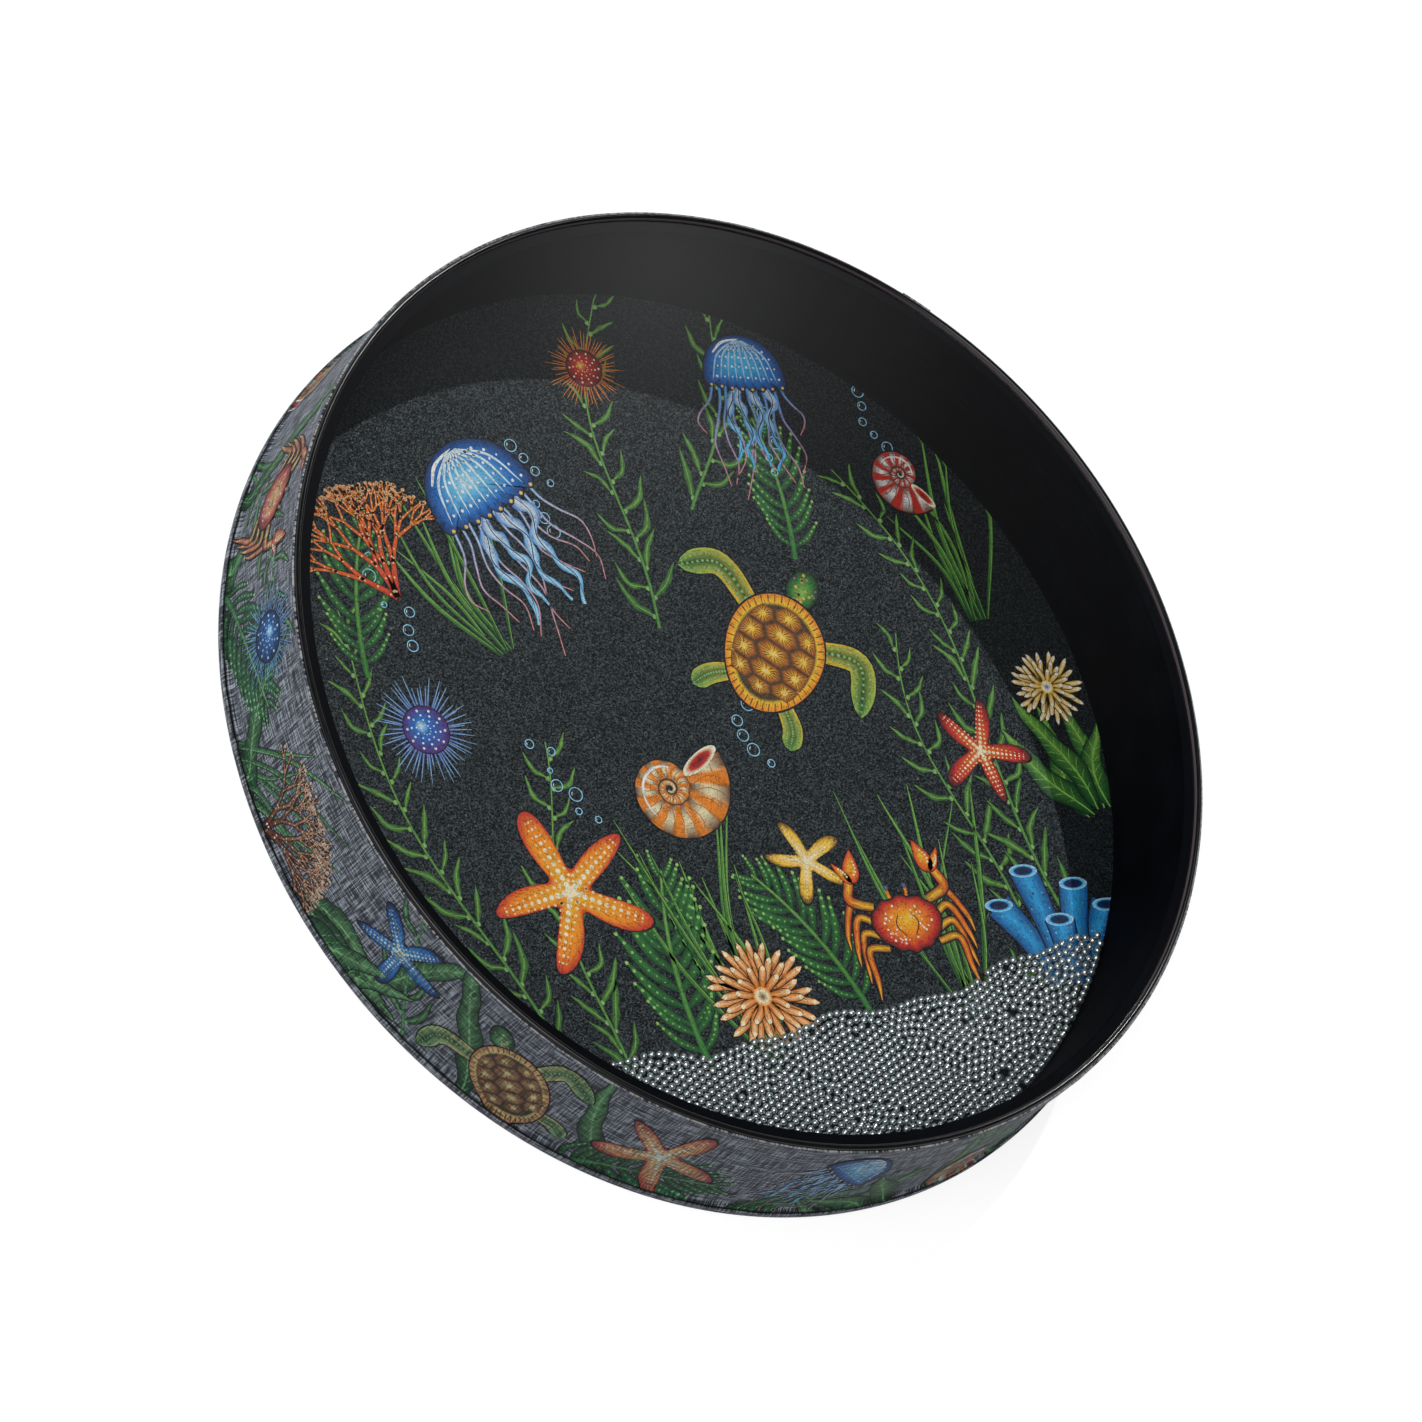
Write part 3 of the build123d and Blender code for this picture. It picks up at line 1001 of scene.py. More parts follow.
def sponge_tubes(rng, size, deep, body, tip):
    """Cluster of upright tubes with pale open mouths."""
    art = Print()
    tubes = ((-0.36, 0.72, -14), (0.34, 0.66, 13), (-0.14, 1.0, -4), (0.14, 0.86, 6), (0.0, 0.56, 0))
    for k, (x, tall, lean) in enumerate(tubes):
        top = (size * (x + tall * math.sin(math.radians(lean))), size * tall)
        path = smooth_line([(size * x * 0.55, 0), (size * x * 0.85, size * tall * 0.5), top], 16)
        s = np.linspace(0, 1, 16)
        half = size * (0.085 + 0.05 * s)
        art.black_band(path, half + 0.6, 4 * k)
        art.band(path, half, blend(deep, body, 0.4 * s), blend(body, tip, 0.35 + 0.4 * s), 4 * k + 1)
        for _ in range(26):
            i = rng.randrange(1, 14)
            pore = path[i] + (rng.uniform(-0.75, 0.75) * half[i], 0)
            art.dot(pore, size * rng.uniform(0.006, 0.014), blend(tip, deep, rng.random()), 4 * k + 2, 6)
        lip = oval(full_turn(26), half[-1], 0.42 * half[-1]) + top
        stops = [(0, INK_BLACK), (0.62, deep), (0.72, tip), (1, blend(tip, WHITE, 0.5))]
        art.patch(lip, top, stops, 4 * k + 3)
    return art


def bubbles(rng, count, tall):
    """String of rising bubbles, each with a short gleam."""
    art = Print()
    turn = np.linspace(0, 2 * math.pi, 19)
    for k in range(count):
        x, y, r = rng.uniform(-6, 6), tall * (k + 0.5) / count, rng.uniform(1.1, 3.0)
        art.band(oval(turn, r, r) + (x, y), 0.22, SKY, ICE, 0)
        art.line(oval(turn[6:10], 0.6 * r, 0.6 * r) + (x, y), 0.4, WHITE, 1)
    return art


def kelp_strand(rng, length, sway):
    """Long stem with single blades to either side, each on a small float."""
    art = Print()
    n = max(int(length / 4), 12)
    t = np.linspace(0, 1, n)
    phase = rng.uniform(0, 6.28)
    stem = np.column_stack([sway * (np.sin(5.2 * t + phase) - math.sin(phase)) * (0.3 + 0.7 * t), length * t])
    run = directions(stem)
    count = int(length / 6.5)
    for k in range(1, count):
        at = k / count
        i = min(int(at * (n - 1)), n - 2)
        way = swung(run[i], (1 if k % 2 else -1) * math.radians(rng.uniform(34, 56)))
        reach = rng.uniform(13, 20) * (1.05 - 0.45 * at)
        start = stem[i] + way * 2.6
        bow = leftward(way) * reach * rng.uniform(-0.22, 0.22)
        tip = start + way * reach + run[i] * reach * 0.2
        leaf = smooth_line([start, start + way * reach * 0.5 + bow, tip], 10)
        s = np.linspace(0, 1, 10)
        half = reach * 0.105 * np.sin(np.pi * (0.08 + 0.9 * s) ** 0.8) ** 0.8
        ruff = 1 + 0.22 * np.sin(15 * s + k)
        bright = blend(GREEN, LIME, 0.25 + 0.65 * s * at + 0.2 * rng.random())
        art.black_band(leaf, half + 0.35, 0)
        art.ribbon(leaf, half * ruff, half * ruff[::-1], blend(DEEP_GREEN, GREEN, s), bright, 1 + k % 2)
        art.line(leaf[:-1], 0.4, blend(LEAF, LIME, 0.7), 3)
        art.dot(stem[i] + way * 1.5, 1.15, blend(LEAF, LIME, 0.6), 3, 8)
    art.band(stem, 0.85 * (1 - 0.6 * t), GREEN, blend(LEAF, LIME, 0.4 + 0.5 * t), 4)
    return art


def eelgrass(rng, blades, length, spread):
    """Tuft of narrow blades with a bright edge."""
    art = Print()
    for k in range(blades):
        level = 3 * (k % 3)
        share = (k + 0.5) / blades - 0.5
        tall = length * rng.uniform(0.55, 1.0)
        lean = spread * share + rng.uniform(-4, 4)
        bow = rng.uniform(-0.14, 0.14) * tall
        foot = share * 9
        guide = [(foot, 0), (foot + lean * 0.35 + bow, tall * 0.5), (foot + lean + bow * 0.4, tall)]
        path = smooth_line(guide, max(int(tall / 4), 8))
        s = np.linspace(0, 1, len(path))
        half = rng.uniform(0.9, 1.5) * (np.sin(np.pi * (0.12 + 0.86 * s)) ** 0.6) * (1 - 0.35 * s)
        bright = blend(GREEN, LIME, s * rng.uniform(0.5, 1.0))
        art.black_band(path, half + 0.25, level)
        art.band(path, half, blend(DEEP_GREEN, LEAF, s), bright, level + 1)
        art.line(path + np.column_stack([half * 0.55, 0 * half]), 0.35, blend(LEAF, LIME, 0.8), level + 2)
    return art


def head_plants(rng):
    """Weeds over the back head; +Y is up in the picture."""
    art = Print()
    plants = [
        (kelp_strand(rng, 205, 13), -114, -122, 5), (kelp_strand(rng, 150, 11), -88, -138, -7),
        (kelp_strand(rng, 120, 9), -158, -92, 8), (kelp_strand(rng, 225, 15), 142, -128, 9),
        (kelp_strand(rng, 160, 12), 116, -138, -4), (kelp_strand(rng, 150, 12), 8, 46, -16),
        (kelp_strand(rng, 110, 9), 46, 92, -34), (eelgrass(rng, 13, 118, 70), -20, -140, 2),
        (eelgrass(rng, 11, 104, 60), 78, -142, -6), (eelgrass(rng, 9, 86, 44), -66, 50, 12),
        (eelgrass(rng, 9, 84, 52), 158, 20, -4), (sea_fern(rng, 88, 12, 20), -52, -136, 4),
        (sea_fern(rng, 74, 11, -16), 30, -128, 10), (sea_fern(rng, 70, 10, 14), -132, 52, -10),
        (sea_fern(rng, 66, 10, -12), 84, 62, -18), (kelp_clump(rng, 5, 62, 11, 70), 176, -72, 14),
    ]
    for k, (plant, x, y, turn) in enumerate(plants):
        art.stamp(plant, x, y, turn, level=6 * (k % 2))
    return art


def head_animals(rng):
    """Bubbles and sea animals over the weeds of the back head."""
    art = Print()
    strings = [(-18, 92, 4), (96, 96, -10), (-104, 58, 8), (28, -22, -6), (150, 84, 2), (-60, -30, 12)]
    for x, y, turn in strings:
        art.stamp(bubbles(rng, 7, 46), x, y, turn, level=12)
    animals = [
        (jelly(rng, 52, NAVY, BLUE, ICE), -46, 112, 16), (jelly(rng, 38, NAVY, BLUE, SKY), 96, 140, -14),
        (turtle(rng, 60), 56, 26, -48), (sea_star(rng, 37, RED, ORANGE, AMBER), -82, -52, 14),
        (sea_star(rng, 23, MAROON, RED, ORANGE), 132, -34, 40),
        (sea_star(rng, 19, BROWN, AMBER, CREAM), 30, -62, 8),
        (coiled_shell(33, ORANGE, CREAM), -18, -20, 24), (coiled_shell(21, RED, WHITE), 150, 88, -60),
        (crab(rng, 44), 64, -97, -4), (urchin(rng, 24, PLUM, BLUE, ICE), -116, 26, 0),
        (urchin(rng, 19, MAROON, RED, AMBER), 24, 160, 0),
        (anemone(rng, 25, MAROON, ORANGE, CREAM), -16, -112, 0),
        (anemone(rng, 17, BROWN, AMBER, WHITE), 176, -14, 0), (fan_coral(rng, 56, RED, ORANGE), -104, 82, 14),
        (sponge_tubes(rng, 50, NAVY, BLUE, SKY), 131, -138, -8),
    ]
    for animal, x, y, turn in animals:
        art.stamp(animal, x, y, turn, level=13)
    return art


def side_print(rng, length):
    """Picture round the wrap, unrolled along X; shapes that pass the cloth's edges are cut there later."""
    art = Print()
    plants = [lambda: kelp_strand(rng, 120, 8), lambda: sea_fern(rng, 74, 11, 16),
              lambda: eelgrass(rng, 9, 92, 50), lambda: kelp_clump(rng, 5, 62, 12, 60)]
    animals = [
        (lambda: turtle(rng, 46), 30), (lambda: sea_star(rng, 27, RED, ORANGE, AMBER), 24),
        (lambda: jelly(rng, 34, NAVY, BLUE, ICE), 42), (lambda: coiled_shell(26, ORANGE, CREAM), 20),
        (lambda: crab(rng, 38), 30), (lambda: urchin(rng, 24, NAVY, BLUE, ICE), 38),
        (lambda: fan_coral(rng, 44, MAROON, ORANGE), 8), (lambda: sea_star(rng, 22, NAVY, BLUE, SKY), 40),
    ]
    at, k = 0.0, 0
    while at < length - 60:
        over = 6 * (k % 2)
        lean = rng.choice((-62, -48, 40, 58)) + rng.uniform(-8, 8)
        art.stamp(plants[k % len(plants)](), at + 14, rng.uniform(-12, 2), lean, level=over)
        blade = kelp_blade(rng, rng.uniform(70, 100), 10, 12)
        art.stamp(blade, at + 44, rng.uniform(-20, 0), rng.choice((-30, 25, 50)), level=6 - over)
        animal, lift = animals[k % len(animals)]
        art.stamp(animal(), at + 52, lift + rng.uniform(-6, 6), rng.uniform(-70, 70), level=13)
        at, k = at + rng.uniform(62, 80), k + 1
    return art


def faded(art):
    """Softens a print's colours towards the grey of the wrap."""
    for k, colour in enumerate(art.colours):
        light = colour @ np.array([0.2, 0.7, 0.1])
        soft = 0.76 * colour + 0.24 * light[:, None] * np.array([0.6, 1.05, 1.5])
        art.colours[k] = 0.56 * soft * np.array([0.84, 0.96, 1.0]) + 0.002
    return art


def lay_print(name, art, place, reach=math.inf):
    """Makes the shapes of a print within reach one coloured piece; place sets their points on the drum."""
    flat = np.concatenate(art.points)
    x, y = flat[:, 0].tolist(), flat[:, 1].tolist()

    def facing_up(face):
        area = sum(x[a] * y[b] - x[b] * y[a] for a, b in zip(face, face[1:] + face[:1]))
        return face if area > 0 else face[::-1]

    near = [math.hypot(a, b) < reach for a, b in zip(x, y)]
    faces = [facing_up(face) for face in art.faces if any(near[i] for i in face)]
    mesh = bpy.data.meshes.new(name)
    mesh.from_pydata(place(flat).tolist(), [], faces)
    layers = (("ink", "FLOAT_COLOR", "color", art.colours, 1.0),
              ("stroke", "FLOAT_VECTOR", "vector", art.strokes, 0.0))
    for label, kind, field, values, last in layers:
        values = np.concatenate(values)
        values = np.column_stack([values, np.full(len(values), last)]).astype(np.float32)
        mesh.attributes.new(label, kind, "POINT").data.foreach_set(field, values.ravel())
    piece = bpy.data.objects.new(name, mesh)
    bpy.context.scene.collection.objects.link(piece)
    pick_only(piece)
    bpy.ops.object.mode_set(mode="EDIT")
    bpy.ops.mesh.select_all(action="SELECT")
    bpy.ops.mesh.delete_loose(use_verts=True, use_edges=False, use_faces=False)
    bpy.ops.object.mode_set(mode="OBJECT")
    return piece


def on_head(flat):
    """Points on the cloth of the back head, in the order that they were printed; the wall stops them."""
    far = np.maximum(np.linalg.norm(flat[:, :2], axis=1), 1e-6)
    drawn_in = np.minimum(1.0, HEAD_PRINT_R / far)[:, None]
    return np.column_stack([flat[:, :2] * drawn_in * MM, CLOTH_Z[1] + INK_LIFT + HEAD_INK_STEP * flat[:, 2]])


def cut_flat(piece, cuts):
    """Cuts a flat piece along straight lines; each cut has an axis, a place and the side to clear."""
    pick_only(piece)
    bpy.ops.object.mode_set(mode="EDIT")
    for axis, at, side in cuts:
        bpy.ops.mesh.select_all(action="SELECT")
        place, normal = [0.0] * 3, [0.0] * 3
        place[axis], normal[axis] = at, 1.0
        bpy.ops.mesh.bisect(plane_co=place, plane_no=normal, threshold=1e-7,
                            clear_inner=side == "below", clear_outer=side == "above")
    bpy.ops.object.mode_set(mode="OBJECT")


def on_wrap(piece):
    """Takes a flat print round the wrap, over the step of its hem."""
    mesh = piece.data
    at = np.empty(len(mesh.vertices) * 3, np.float32)
    mesh.vertices.foreach_get("co", at)
    along, up, lift = at.reshape(-1, 3).astype(float).T
    corner = np.empty(len(mesh.loops), np.int32)
    mesh.loops.foreach_get("vertex_index", corner)
    cloth = mesh.uv_layers.new(name="cloth")
    cloth.data.foreach_set("uv", np.column_stack([along, up])[corner].astype(np.float32).ravel())
    turn = PRINT_START + along / WRAP_R[1]
    side = FLARE + [(WRAP_R[1], HEM_STEP_Z[0]), (HEM_R, HEM_STEP_Z[1]), (HEM_R, WRAP_Z[1])]
    far = np.interp(up, [z for r, z in side], [r for r, z in side]) + INK_LIFT + lift
    places = np.column_stack([far * np.cos(turn), far * np.sin(turn), up])
    mesh.vertices.foreach_set("co", places.astype(np.float32).ravel())
    mesh.update()


# Shell, hoops and heads

def shell():
    low, high = SHELL_Z
    break_r, break_z = BORE_R + 0.5 * MM, high - 0.5 * MM
    profile = [(BORE_R, low), (SHELL_R, low), (SHELL_R, high), (break_r + 0.1 * MM, high),
               (break_r - 0.15 * MM, high - 0.1 * MM), (BORE_R + 0.1 * MM, break_z + 0.15 * MM),
               (BORE_R, break_z - 0.1 * MM)]
    dress(turned_ring("shell_ring", profile), black_fibre, "drum", "black_fibre", "shell_hoop")


def front_hoop():
    (inner, outer), (base, shoulder, top) = FRONT_HOOP_R, FRONT_HOOP_Z
    half, middle = (outer - inner) / 2, (outer + inner) / 2
    profile = [(inner, base), (outer, base)]
    for step in range(13):
        turn = math.pi * step / 12
        profile.append((middle + half * math.cos(turn), shoulder + (top - shoulder) * math.sin(turn)))
    dress(turned_ring("front_rim", profile, 60), rim_gloss, "drum", "black_gloss", "front_rim_hoop")


def rear_hoop():
    bevel, corner = 0.6 * MM, 0.18 * MM
    profile = [(BORE_R + 0.2 * MM, 0), (BACK_HOOP_R - bevel, 0), (BACK_HOOP_R - corner, corner),
               (BACK_HOOP_R, bevel), (BACK_HOOP_R, BACK_HOOP_Z - bevel),
               (BACK_HOOP_R - corner, BACK_HOOP_Z - corner), (BACK_HOOP_R - bevel, BACK_HOOP_Z),
               (BORE_R, BACK_HOOP_Z), (BORE_R, 0.2 * MM)]
    dress(turned_ring("back_ring", profile), black_fibre, "drum", "black_fibre", "back_hoop")


def cloth_places(piece):
    """Map of the cloth in metres: along the hoop and across it."""
    mesh = piece.data
    layer = mesh.uv_layers.new(name="cloth")
    at = np.empty(len(mesh.loops) * 2, np.float32)
    for face in mesh.polygons:
        middle = math.atan2(face.center.y, face.center.x)
        for loop in face.loop_indices:
            v = mesh.vertices[mesh.loops[loop].vertex_index].co
            turn = math.atan2(v.y, v.x)
            turn += 2 * math.pi * round((middle - turn) / (2 * math.pi))
            at[2 * loop:2 * loop + 2] = turn * WRAP_R[1], v.z
    layer.data.foreach_set("uv", at)


def raise_lap(band):
    """Lifts the outside of the band where its end lies over its start."""
    pick_only(band)
    bpy.ops.object.mode_set(mode="EDIT")
    bpy.ops.mesh.select_mode(type="FACE")
    bpy.ops.mesh.select_all(action="DESELECT")
    bpy.ops.object.mode_set(mode="OBJECT")
    for face in band.data.polygons:
        turn = math.atan2(face.center.y, face.center.x)
        outside = face.normal.xy.dot(face.center.xy) > 0.3 * face.center.xy.length
        face.select = outside and LAP_TURN[0] < turn < LAP_TURN[1]
    bpy.ops.object.mode_set(mode="EDIT")
    bpy.ops.mesh.extrude_region_shrink_fatten(TRANSFORM_OT_shrink_fatten={"value": LAP_T})
    bpy.ops.mesh.select_mode(type="VERT")
    bpy.ops.object.mode_set(mode="OBJECT")


def wrap():
    """Cloth band whose back edge flares out over the hoop."""
    (inner, outer), high = WRAP_R, WRAP_Z[1]
    flare_r, flare_z = FLARE[0]
    profile = [(inner + 0.1 * MM, 4.62 * MM), (flare_r - 0.2 * MM, flare_z - 0.13 * MM), *FLARE,
               (outer, HEM_Z - 0.02 * MM), (HEM_R - 0.1 * MM, HEM_Z), (HEM_R, HEM_Z + 0.12 * MM),
               (HEM_R, high - 0.5 * MM), (HEM_R - 0.08 * MM, high - 0.22 * MM),
               (HEM_R - 0.28 * MM, high - 0.05 * MM), (HEM_R - 0.5 * MM, high), (inner + 0.05 * MM, high),
               (inner, high - 0.1 * MM)]
    band = turned_ring("wrap_band", profile)
    raise_lap(band)
    cloth_places(band)
    return dress(band, wrap_cloth, "drum", "wrap_cloth", "side_wrap")


def binding():
    """Strip round the hoop's outer face, turned in a little over its edge."""
    (inner, outer), (low, high) = BINDING_R, BINDING_Z
    profile = [(inner, low), (outer - 0.1 * MM, low), (outer, low + 0.2 * MM), (outer, high),
               (outer - 0.12 * MM, high + 0.35 * MM), (inner - 0.05 * MM, high + 0.52 * MM),
               (inner - 0.05 * MM, high + 0.2 * MM)]
    strip = turned_ring("binding_strip", profile)
    cloth_places(strip)
    return dress(strip, binding_cloth, "drum", "binding_cloth", "back_edge_binding")


def head_print(name, art):
    """Picture on the cloth of the back head."""
    return dress(lay_print(name, art, on_head, HEAD_PRINT_R), head_ink, "drum", "printed_cloth")


def wrap_print():
    """Picture on the wrap: printed flat, cut to the cloth and taken round the drum."""
    length = (2 * math.pi - 2 * PRINT_MARGIN) * WRAP_R[1]
    art = faded(side_print(random.Random(WRAP_SEED), length / MM))
    piece = lay_print("wrap_print", art, lambda flat: flat * (MM, MM, SIDE_INK_STEP))
    low, high = FLARE[0][1] + 0.1 * MM, WRAP_Z[1] - 0.6 * MM
    edges = [(0, 0.0, "below"), (0, length, "above"), (1, low, "below"), (1, high, "above")]
    folds = [(1, z, "neither") for z in [z for r, z in FLARE[1:]] + list(HEM_STEP_Z)]
    cut_flat(piece, edges + folds)
    on_wrap(piece)
    return dress(piece, wrap_ink, "drum", "wrap_cloth")


shell()
front_hoop()
rear_hoop()
wrap_band = wrap()
binding_strip = binding()
dress(stretched_disc("clear_head", SHELL_R, *FILM_Z, FILM_RINGS), clear_film, "drum", "clear_film",
      "clear_front_head")
cloth_disc = dress(stretched_disc("cloth_head", SHELL_R, *CLOTH_Z, CLOTH_RINGS), head_cloth, "drum",
                   "printed_cloth", "back_head_cloth")
dress(stretched_disc("back_head", SHELL_R, *BACK_FILM_Z, BACK_FILM_RINGS), back_film, "drum", "back_film",
      "back_head_film")
plant_print = head_print("head_plant_print", head_plants(random.Random(PLANT_SEED)))
animal_print = head_print("head_animal_print", head_animals(random.Random(ANIMAL_SEED)))
side_picture = wrap_print()


# Loose shot: one ball, copied over the bank, in the bands that the joints move

def one_ball():
    clear_selection()
    bpy.ops.mesh.primitive_cube_add(size=SHOT_R, location=(0, 0, 0))
    ball = bpy.context.object
    bpy.ops.object.mode_set(mode="EDIT")
    bpy.ops.mesh.select_all(action="SELECT")
    bpy.ops.mesh.subdivide(number_cuts=2)
    bpy.ops.transform.tosphere(value=1.0)
    bpy.ops.object.mode_set(mode="OBJECT")
    corners = np.array([v.co for v in ball.data.vertices], float)
    corners *= SHOT_R / np.linalg.norm(corners, axis=1).max()
    faces = np.array([f.vertices for f in ball.data.polygons], int)
    bpy.data.objects.remove(ball)
    return corners, faces


def bank_edge(x):
    """Inner edge of the bank, a little uneven."""
    bow = -130 * MM + 9 * MM * (x / (140 * MM)) ** 2
    return bow + 2.2 * MM * np.sin(x * 61 + 1.0) + 1.4 * MM * np.sin(x * 147)


def settled(places, spacing, rounds):
    """Pushes balls apart until they lie evenly, inside the wall and the bank's edge."""
    for step in range(rounds):
        if step % 8 == 0:
            far = np.linalg.norm(places[:, None] - places[None], axis=2)
            a, b = np.nonzero(np.triu(far < 1.5 * spacing, 1))
        apart = places[a] - places[b]
        gap = np.maximum(np.linalg.norm(apart, axis=1), 1e-9)
        push = apart * (0.3 * np.clip(spacing - gap, 0, None) / gap)[:, None]
        np.add.at(places, a, push)
        np.add.at(places, b, -push)
        places[:, 1] -= 0.5 * np.clip(places[:, 1] - bank_edge(places[:, 0]), 0, None)
        places *= np.minimum(1.0, SHOT_REACH / np.linalg.norm(places, axis=1))[:, None]
    return places


def bank_places(rng):
    """Middles of the balls: rows shaken out of place, then settled until no two overlap."""
    pitch, lean = 2.11 * SHOT_R, 0.35
    rows = int(2 * SHOT_REACH / (pitch * 0.866))
    i, j = np.meshgrid(np.arange(-rows, rows), np.arange(-rows, rows))
    u, v = ((i + 0.5 * (j % 2)) * pitch).ravel(), (j * pitch * 0.866).ravel()
    c, s = math.cos(lean), math.sin(lean)
    places = np.column_stack([u * c - v * s, u * s + v * c])
    places = places[(np.linalg.norm(places, axis=1) <= SHOT_REACH) & (places[:, 1] < bank_edge(places[:, 0]))]
    shaken = places + np.array([(rng.gauss(0, 1.1 * MM), rng.gauss(0, 1.1 * MM)) for _ in places])
    even = settled(settled(shaken, 2.3 * SHOT_R, 64), 2.03 * SHOT_R, 24)
    return [place for place in even.tolist() if rng.random() > 0.004]


def shot_bank():
    """Balls of the bank, one piece for each band that a joint moves."""
    rng = random.Random(SHOT_SEED)
    corners, faces = one_ball()
    bands = [[] for _ in range(BANDS)]
    for x, y in bank_places(rng):
        share = 1 - (y + SHOT_REACH) / BANK_DEPTH
        bands[min(max(int(share * BANDS), 0), BANDS - 1)].append((x, y))
    for index, places in enumerate(bands):
        node = "rim_shot" if index == BANDS - 1 else f"wave_shot_{index + 1}"
        points, cells = [], []
        for count, (x, y) in enumerate(places):
            angle, lean_x, lean_y = rng.uniform(0, 6.28), rng.uniform(-1, 1), rng.uniform(-1, 1)
            turn = np.array(Matrix.Rotation(angle, 3, Vector((lean_x, lean_y, 1))))
            points.append(corners @ turn.T + (x, y, SHOT_Z))
            cells.append(faces + count * len(corners))
        mesh = bpy.data.meshes.new(f"{node}_balls")
        mesh.from_pydata(np.concatenate(points).tolist(), [], np.concatenate(cells).tolist())
        mesh.polygons.foreach_set("use_smooth", [True] * len(mesh.polygons))
        balls = bpy.data.objects.new(f"{node}_balls", mesh)
        bpy.context.scene.collection.objects.link(balls)
        dress(balls, steel_shot, node, "steel_shot", node)


shot_bank()


# Studio: floor, lamps and camera

def studio_floor():
    """Pale paper: white to the camera and in mirrors, apart from the drum's shadow."""
    clear_selection()
    bpy.ops.mesh.primitive_plane_add(size=14, location=(0, 0, -0.1 * MM))
    floor = bpy.context.object
    floor.name = "studio_floor"
    material, tree, shader = new_finish("floor_paper")
    tree.nodes.remove(shader)
    paper = add(tree, "ShaderNodeBsdfDiffuse")
    put(tree, paper, Color=(0.8, 0.8, 0.8, 1))
    seen = add(tree, "ShaderNodeBsdfDiffuse")
    put(tree, seen, Color=(0.3, 0.3, 0.3, 1))
    white = add(tree, "ShaderNodeEmission")
    put(tree, white, Color=(1, 1, 1, 1), Strength=0.78)
    both = add(tree, "ShaderNodeAddShader")
    tree.links.new(seen.outputs[0], both.inputs[0])
    tree.links.new(white.outputs[0], both.inputs[1])
    ray = add(tree, "ShaderNodeLightPath")
    shown = sums(tree, "MAXIMUM", ray.outputs["Is Camera Ray"], ray.outputs["Is Transmission Ray"])
    shown = sums(tree, "MAXIMUM", shown, ray.outputs["Is Glossy Ray"])
    pick = add(tree, "ShaderNodeMixShader")
    tree.links.new(shown, pick.inputs[0])
    tree.links.new(paper.outputs[0], pick.inputs[1])
    tree.links.new(both.outputs[0], pick.inputs[2])
    tree.links.new(pick.outputs[0], tree.nodes["Material Output"].inputs["Surface"])
    floor.data.materials.append(material)


def studio_world():
    """White where the camera sees past the floor; for other rays pale at the horizon and dim overhead."""
    world = bpy.data.worlds.new("studio")
    bpy.context.scene.world = world
    world.use_nodes = True
    tree = world.node_tree
    white = (1.0, 1.0, 1.0)
    way = add(tree, "ShaderNodeTexCoord").outputs["Generated"]
    height = split(tree, way, "Z")
    dome = ramp(tree, height, (0.0, (0.54, 0.55, 0.57)), (0.22, (0.49, 0.5, 0.52)),
                (0.42, (0.06, 0.06, 0.065)), (1.0, (0.035, 0.035, 0.04)))
    facing = add(tree, "ShaderNodeVectorMath", operation="DOT_PRODUCT")
    tree.links.new(way, facing.inputs[0])
    facing.inputs[1].default_value = FILM_MIRRORS
    overhead = ramp(tree, facing.outputs["Value"], (0.0, (0.16, 0.17, 0.18)), (0.84, (0.16, 0.17, 0.18)),
                    (0.93, (0.01, 0.01, 0.011)))
    low = ramp(tree, height, (0.0, 1.0), (0.12, 1.0), (0.26, 0.0))
    ray = add(tree, "ShaderNodeLightPath").outputs
    colour = mixed(tree, ray["Is Glossy Ray"], dome, mixed(tree, low, overhead, white))
    seen = sums(tree, "MAXIMUM", ray["Is Camera Ray"], ray["Is Transmission Ray"])
    put(tree, tree.nodes["Background"], Color=mixed(tree, seen, colour, white), Strength=1.0)


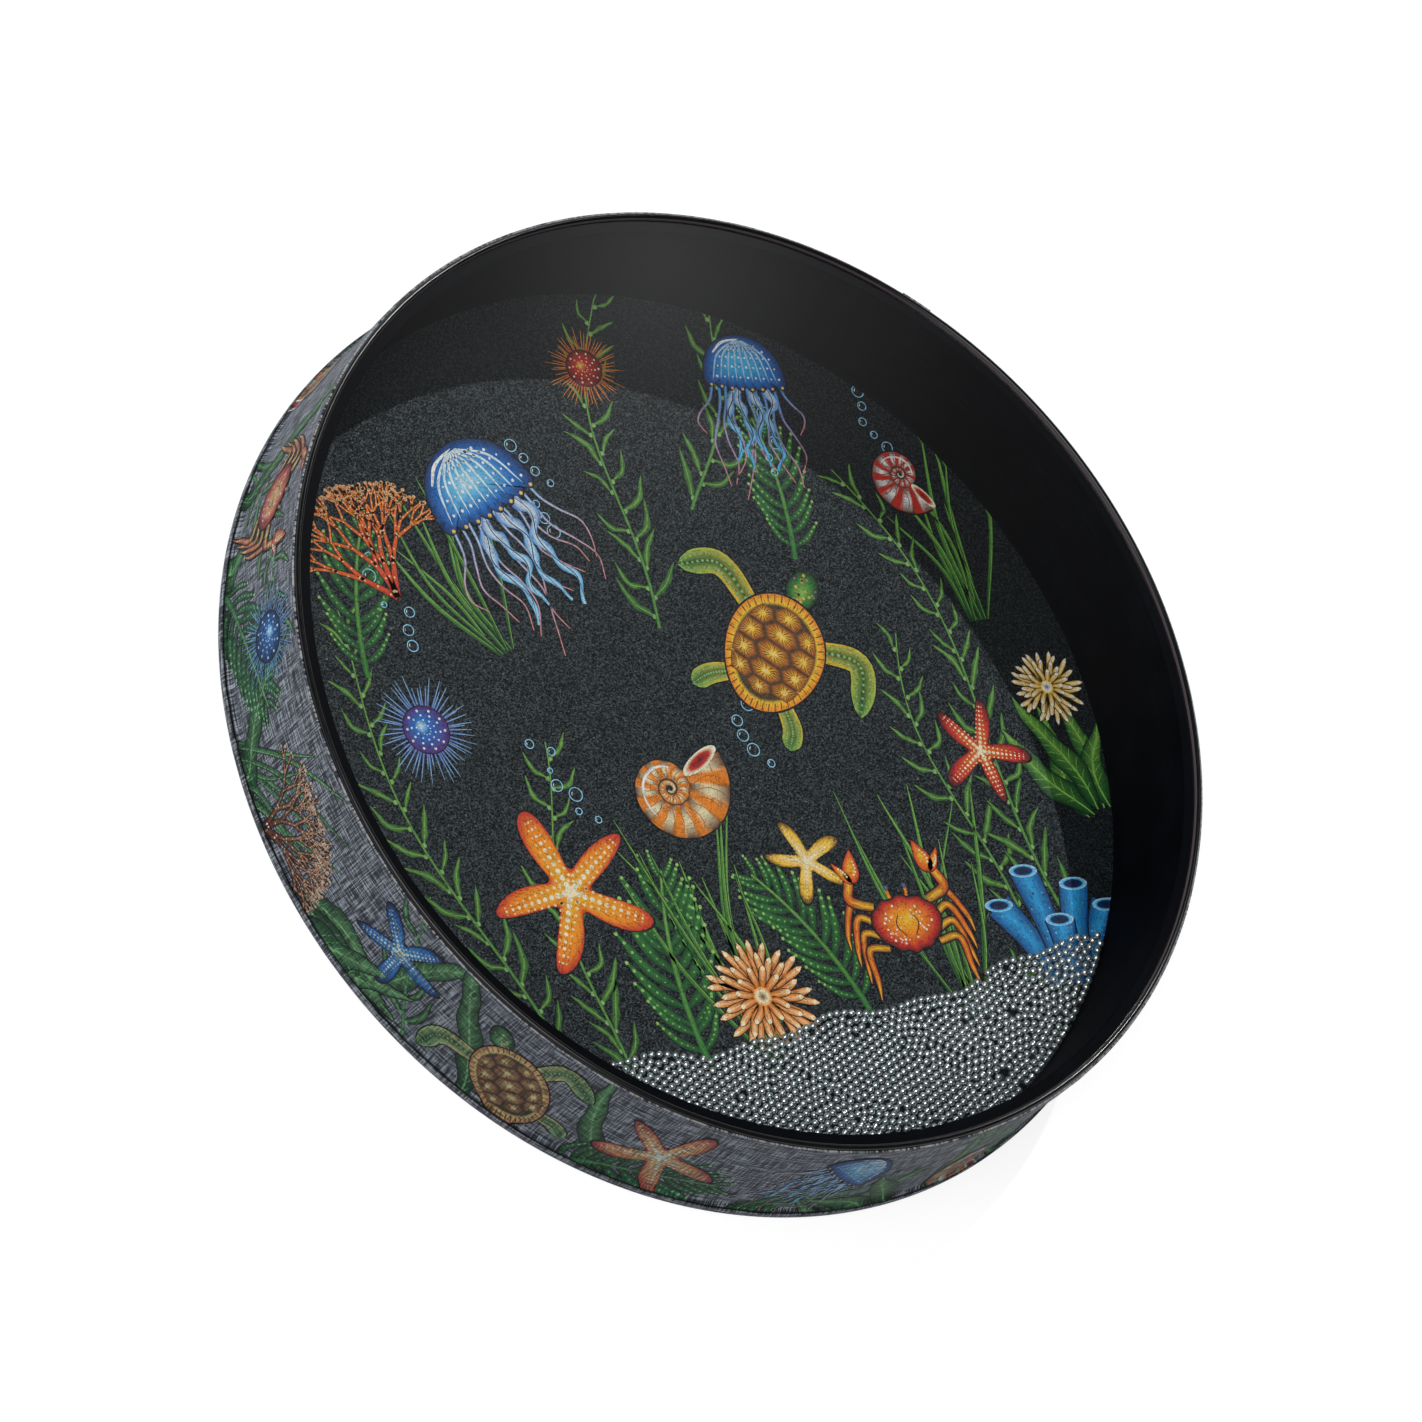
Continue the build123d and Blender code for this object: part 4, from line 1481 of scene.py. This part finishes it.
def film_glow():
    """Soft card whose faint mirror image lies on the clear head, far up."""
    clear_selection()
    bpy.ops.mesh.primitive_plane_add(size=1.0)
    card = bpy.context.object
    card.name = "glow_card"
    card.location = (1.488, 0.872, 1.976)
    card.rotation_mode = "QUATERNION"
    card.rotation_quaternion = Vector((0.58, 0.277, 0.766)).to_track_quat("Z", "Y")
    material, tree, shader = new_finish("glow_card")
    tree.nodes.remove(shader)
    round_fall = add(tree, "ShaderNodeTexGradient", gradient_type="SPHERICAL")
    put(tree, round_fall, Vector=stretched(tree, object_place(tree), (2.2, 2.2, 2.2)))
    glow = add(tree, "ShaderNodeEmission")
    fall = ramp(tree, round_fall.outputs["Fac"], (0.0, 0.0), (0.55, 0.06), (0.78, 0.17), (1.0, 0.4))
    put(tree, glow, Color=fall)
    tree.links.new(glow.outputs[0], tree.nodes["Material Output"].inputs["Surface"])
    card.data.materials.append(material)
    card.visible_camera = False
    card.visible_shadow = False


def lamp(name, kind, towards, energy, **settings):
    """Lamp in the direction that it comes from, aimed at the drum."""
    data = bpy.data.lights.new(name, kind)
    data.energy = energy
    for key, value in settings.items():
        setattr(data, key, value)
    made = bpy.data.objects.new(name, data)
    bpy.context.scene.collection.objects.link(made)
    direction = Vector(towards).normalized()
    made.location = direction * LAMP_FAR + Vector(DRUM_MIDDLE)
    made.rotation_mode = "QUATERNION"
    made.rotation_quaternion = direction.to_track_quat("Z", "Y")
    return made


def photo_camera():
    data = bpy.data.cameras.new("camera")
    data.sensor_fit = "HORIZONTAL"
    data.sensor_width = 36.0
    data.lens = 303.8
    data.clip_start, data.clip_end = 0.5, 40.0
    camera = bpy.data.objects.new("camera", data)
    bpy.context.scene.collection.objects.link(camera)
    back = Vector((-0.577, -0.243, 0.779)).normalized()
    right = Vector((0.796, -0.379, 0.471))
    right = (right - back * right.dot(back)).normalized()
    up = back.cross(right)
    turn = Matrix((right, up, back)).transposed()
    camera.matrix_world = Matrix.Translation(CAMERA_PLACE) @ turn.to_4x4()
    bpy.context.scene.camera = camera


bpy.context.scene.view_settings.view_transform = "Standard"
studio_floor()
studio_world()
lamp("key_lamp", "SUN", (0.492, 0.430, 0.757), 1.15, angle=math.radians(0.9))
lamp("front_softbox", "AREA", (-0.47, -0.19, 0.86), 60.0, shape="RECTANGLE", size=2.2, size_y=2.2)
fill = lamp("left_fill", "AREA", (-0.64, 0.76, 0.14), 50.0, shape="RECTANGLE", size=1.6, size_y=0.6)
fill.visible_glossy = False
film_glow()
photo_camera()
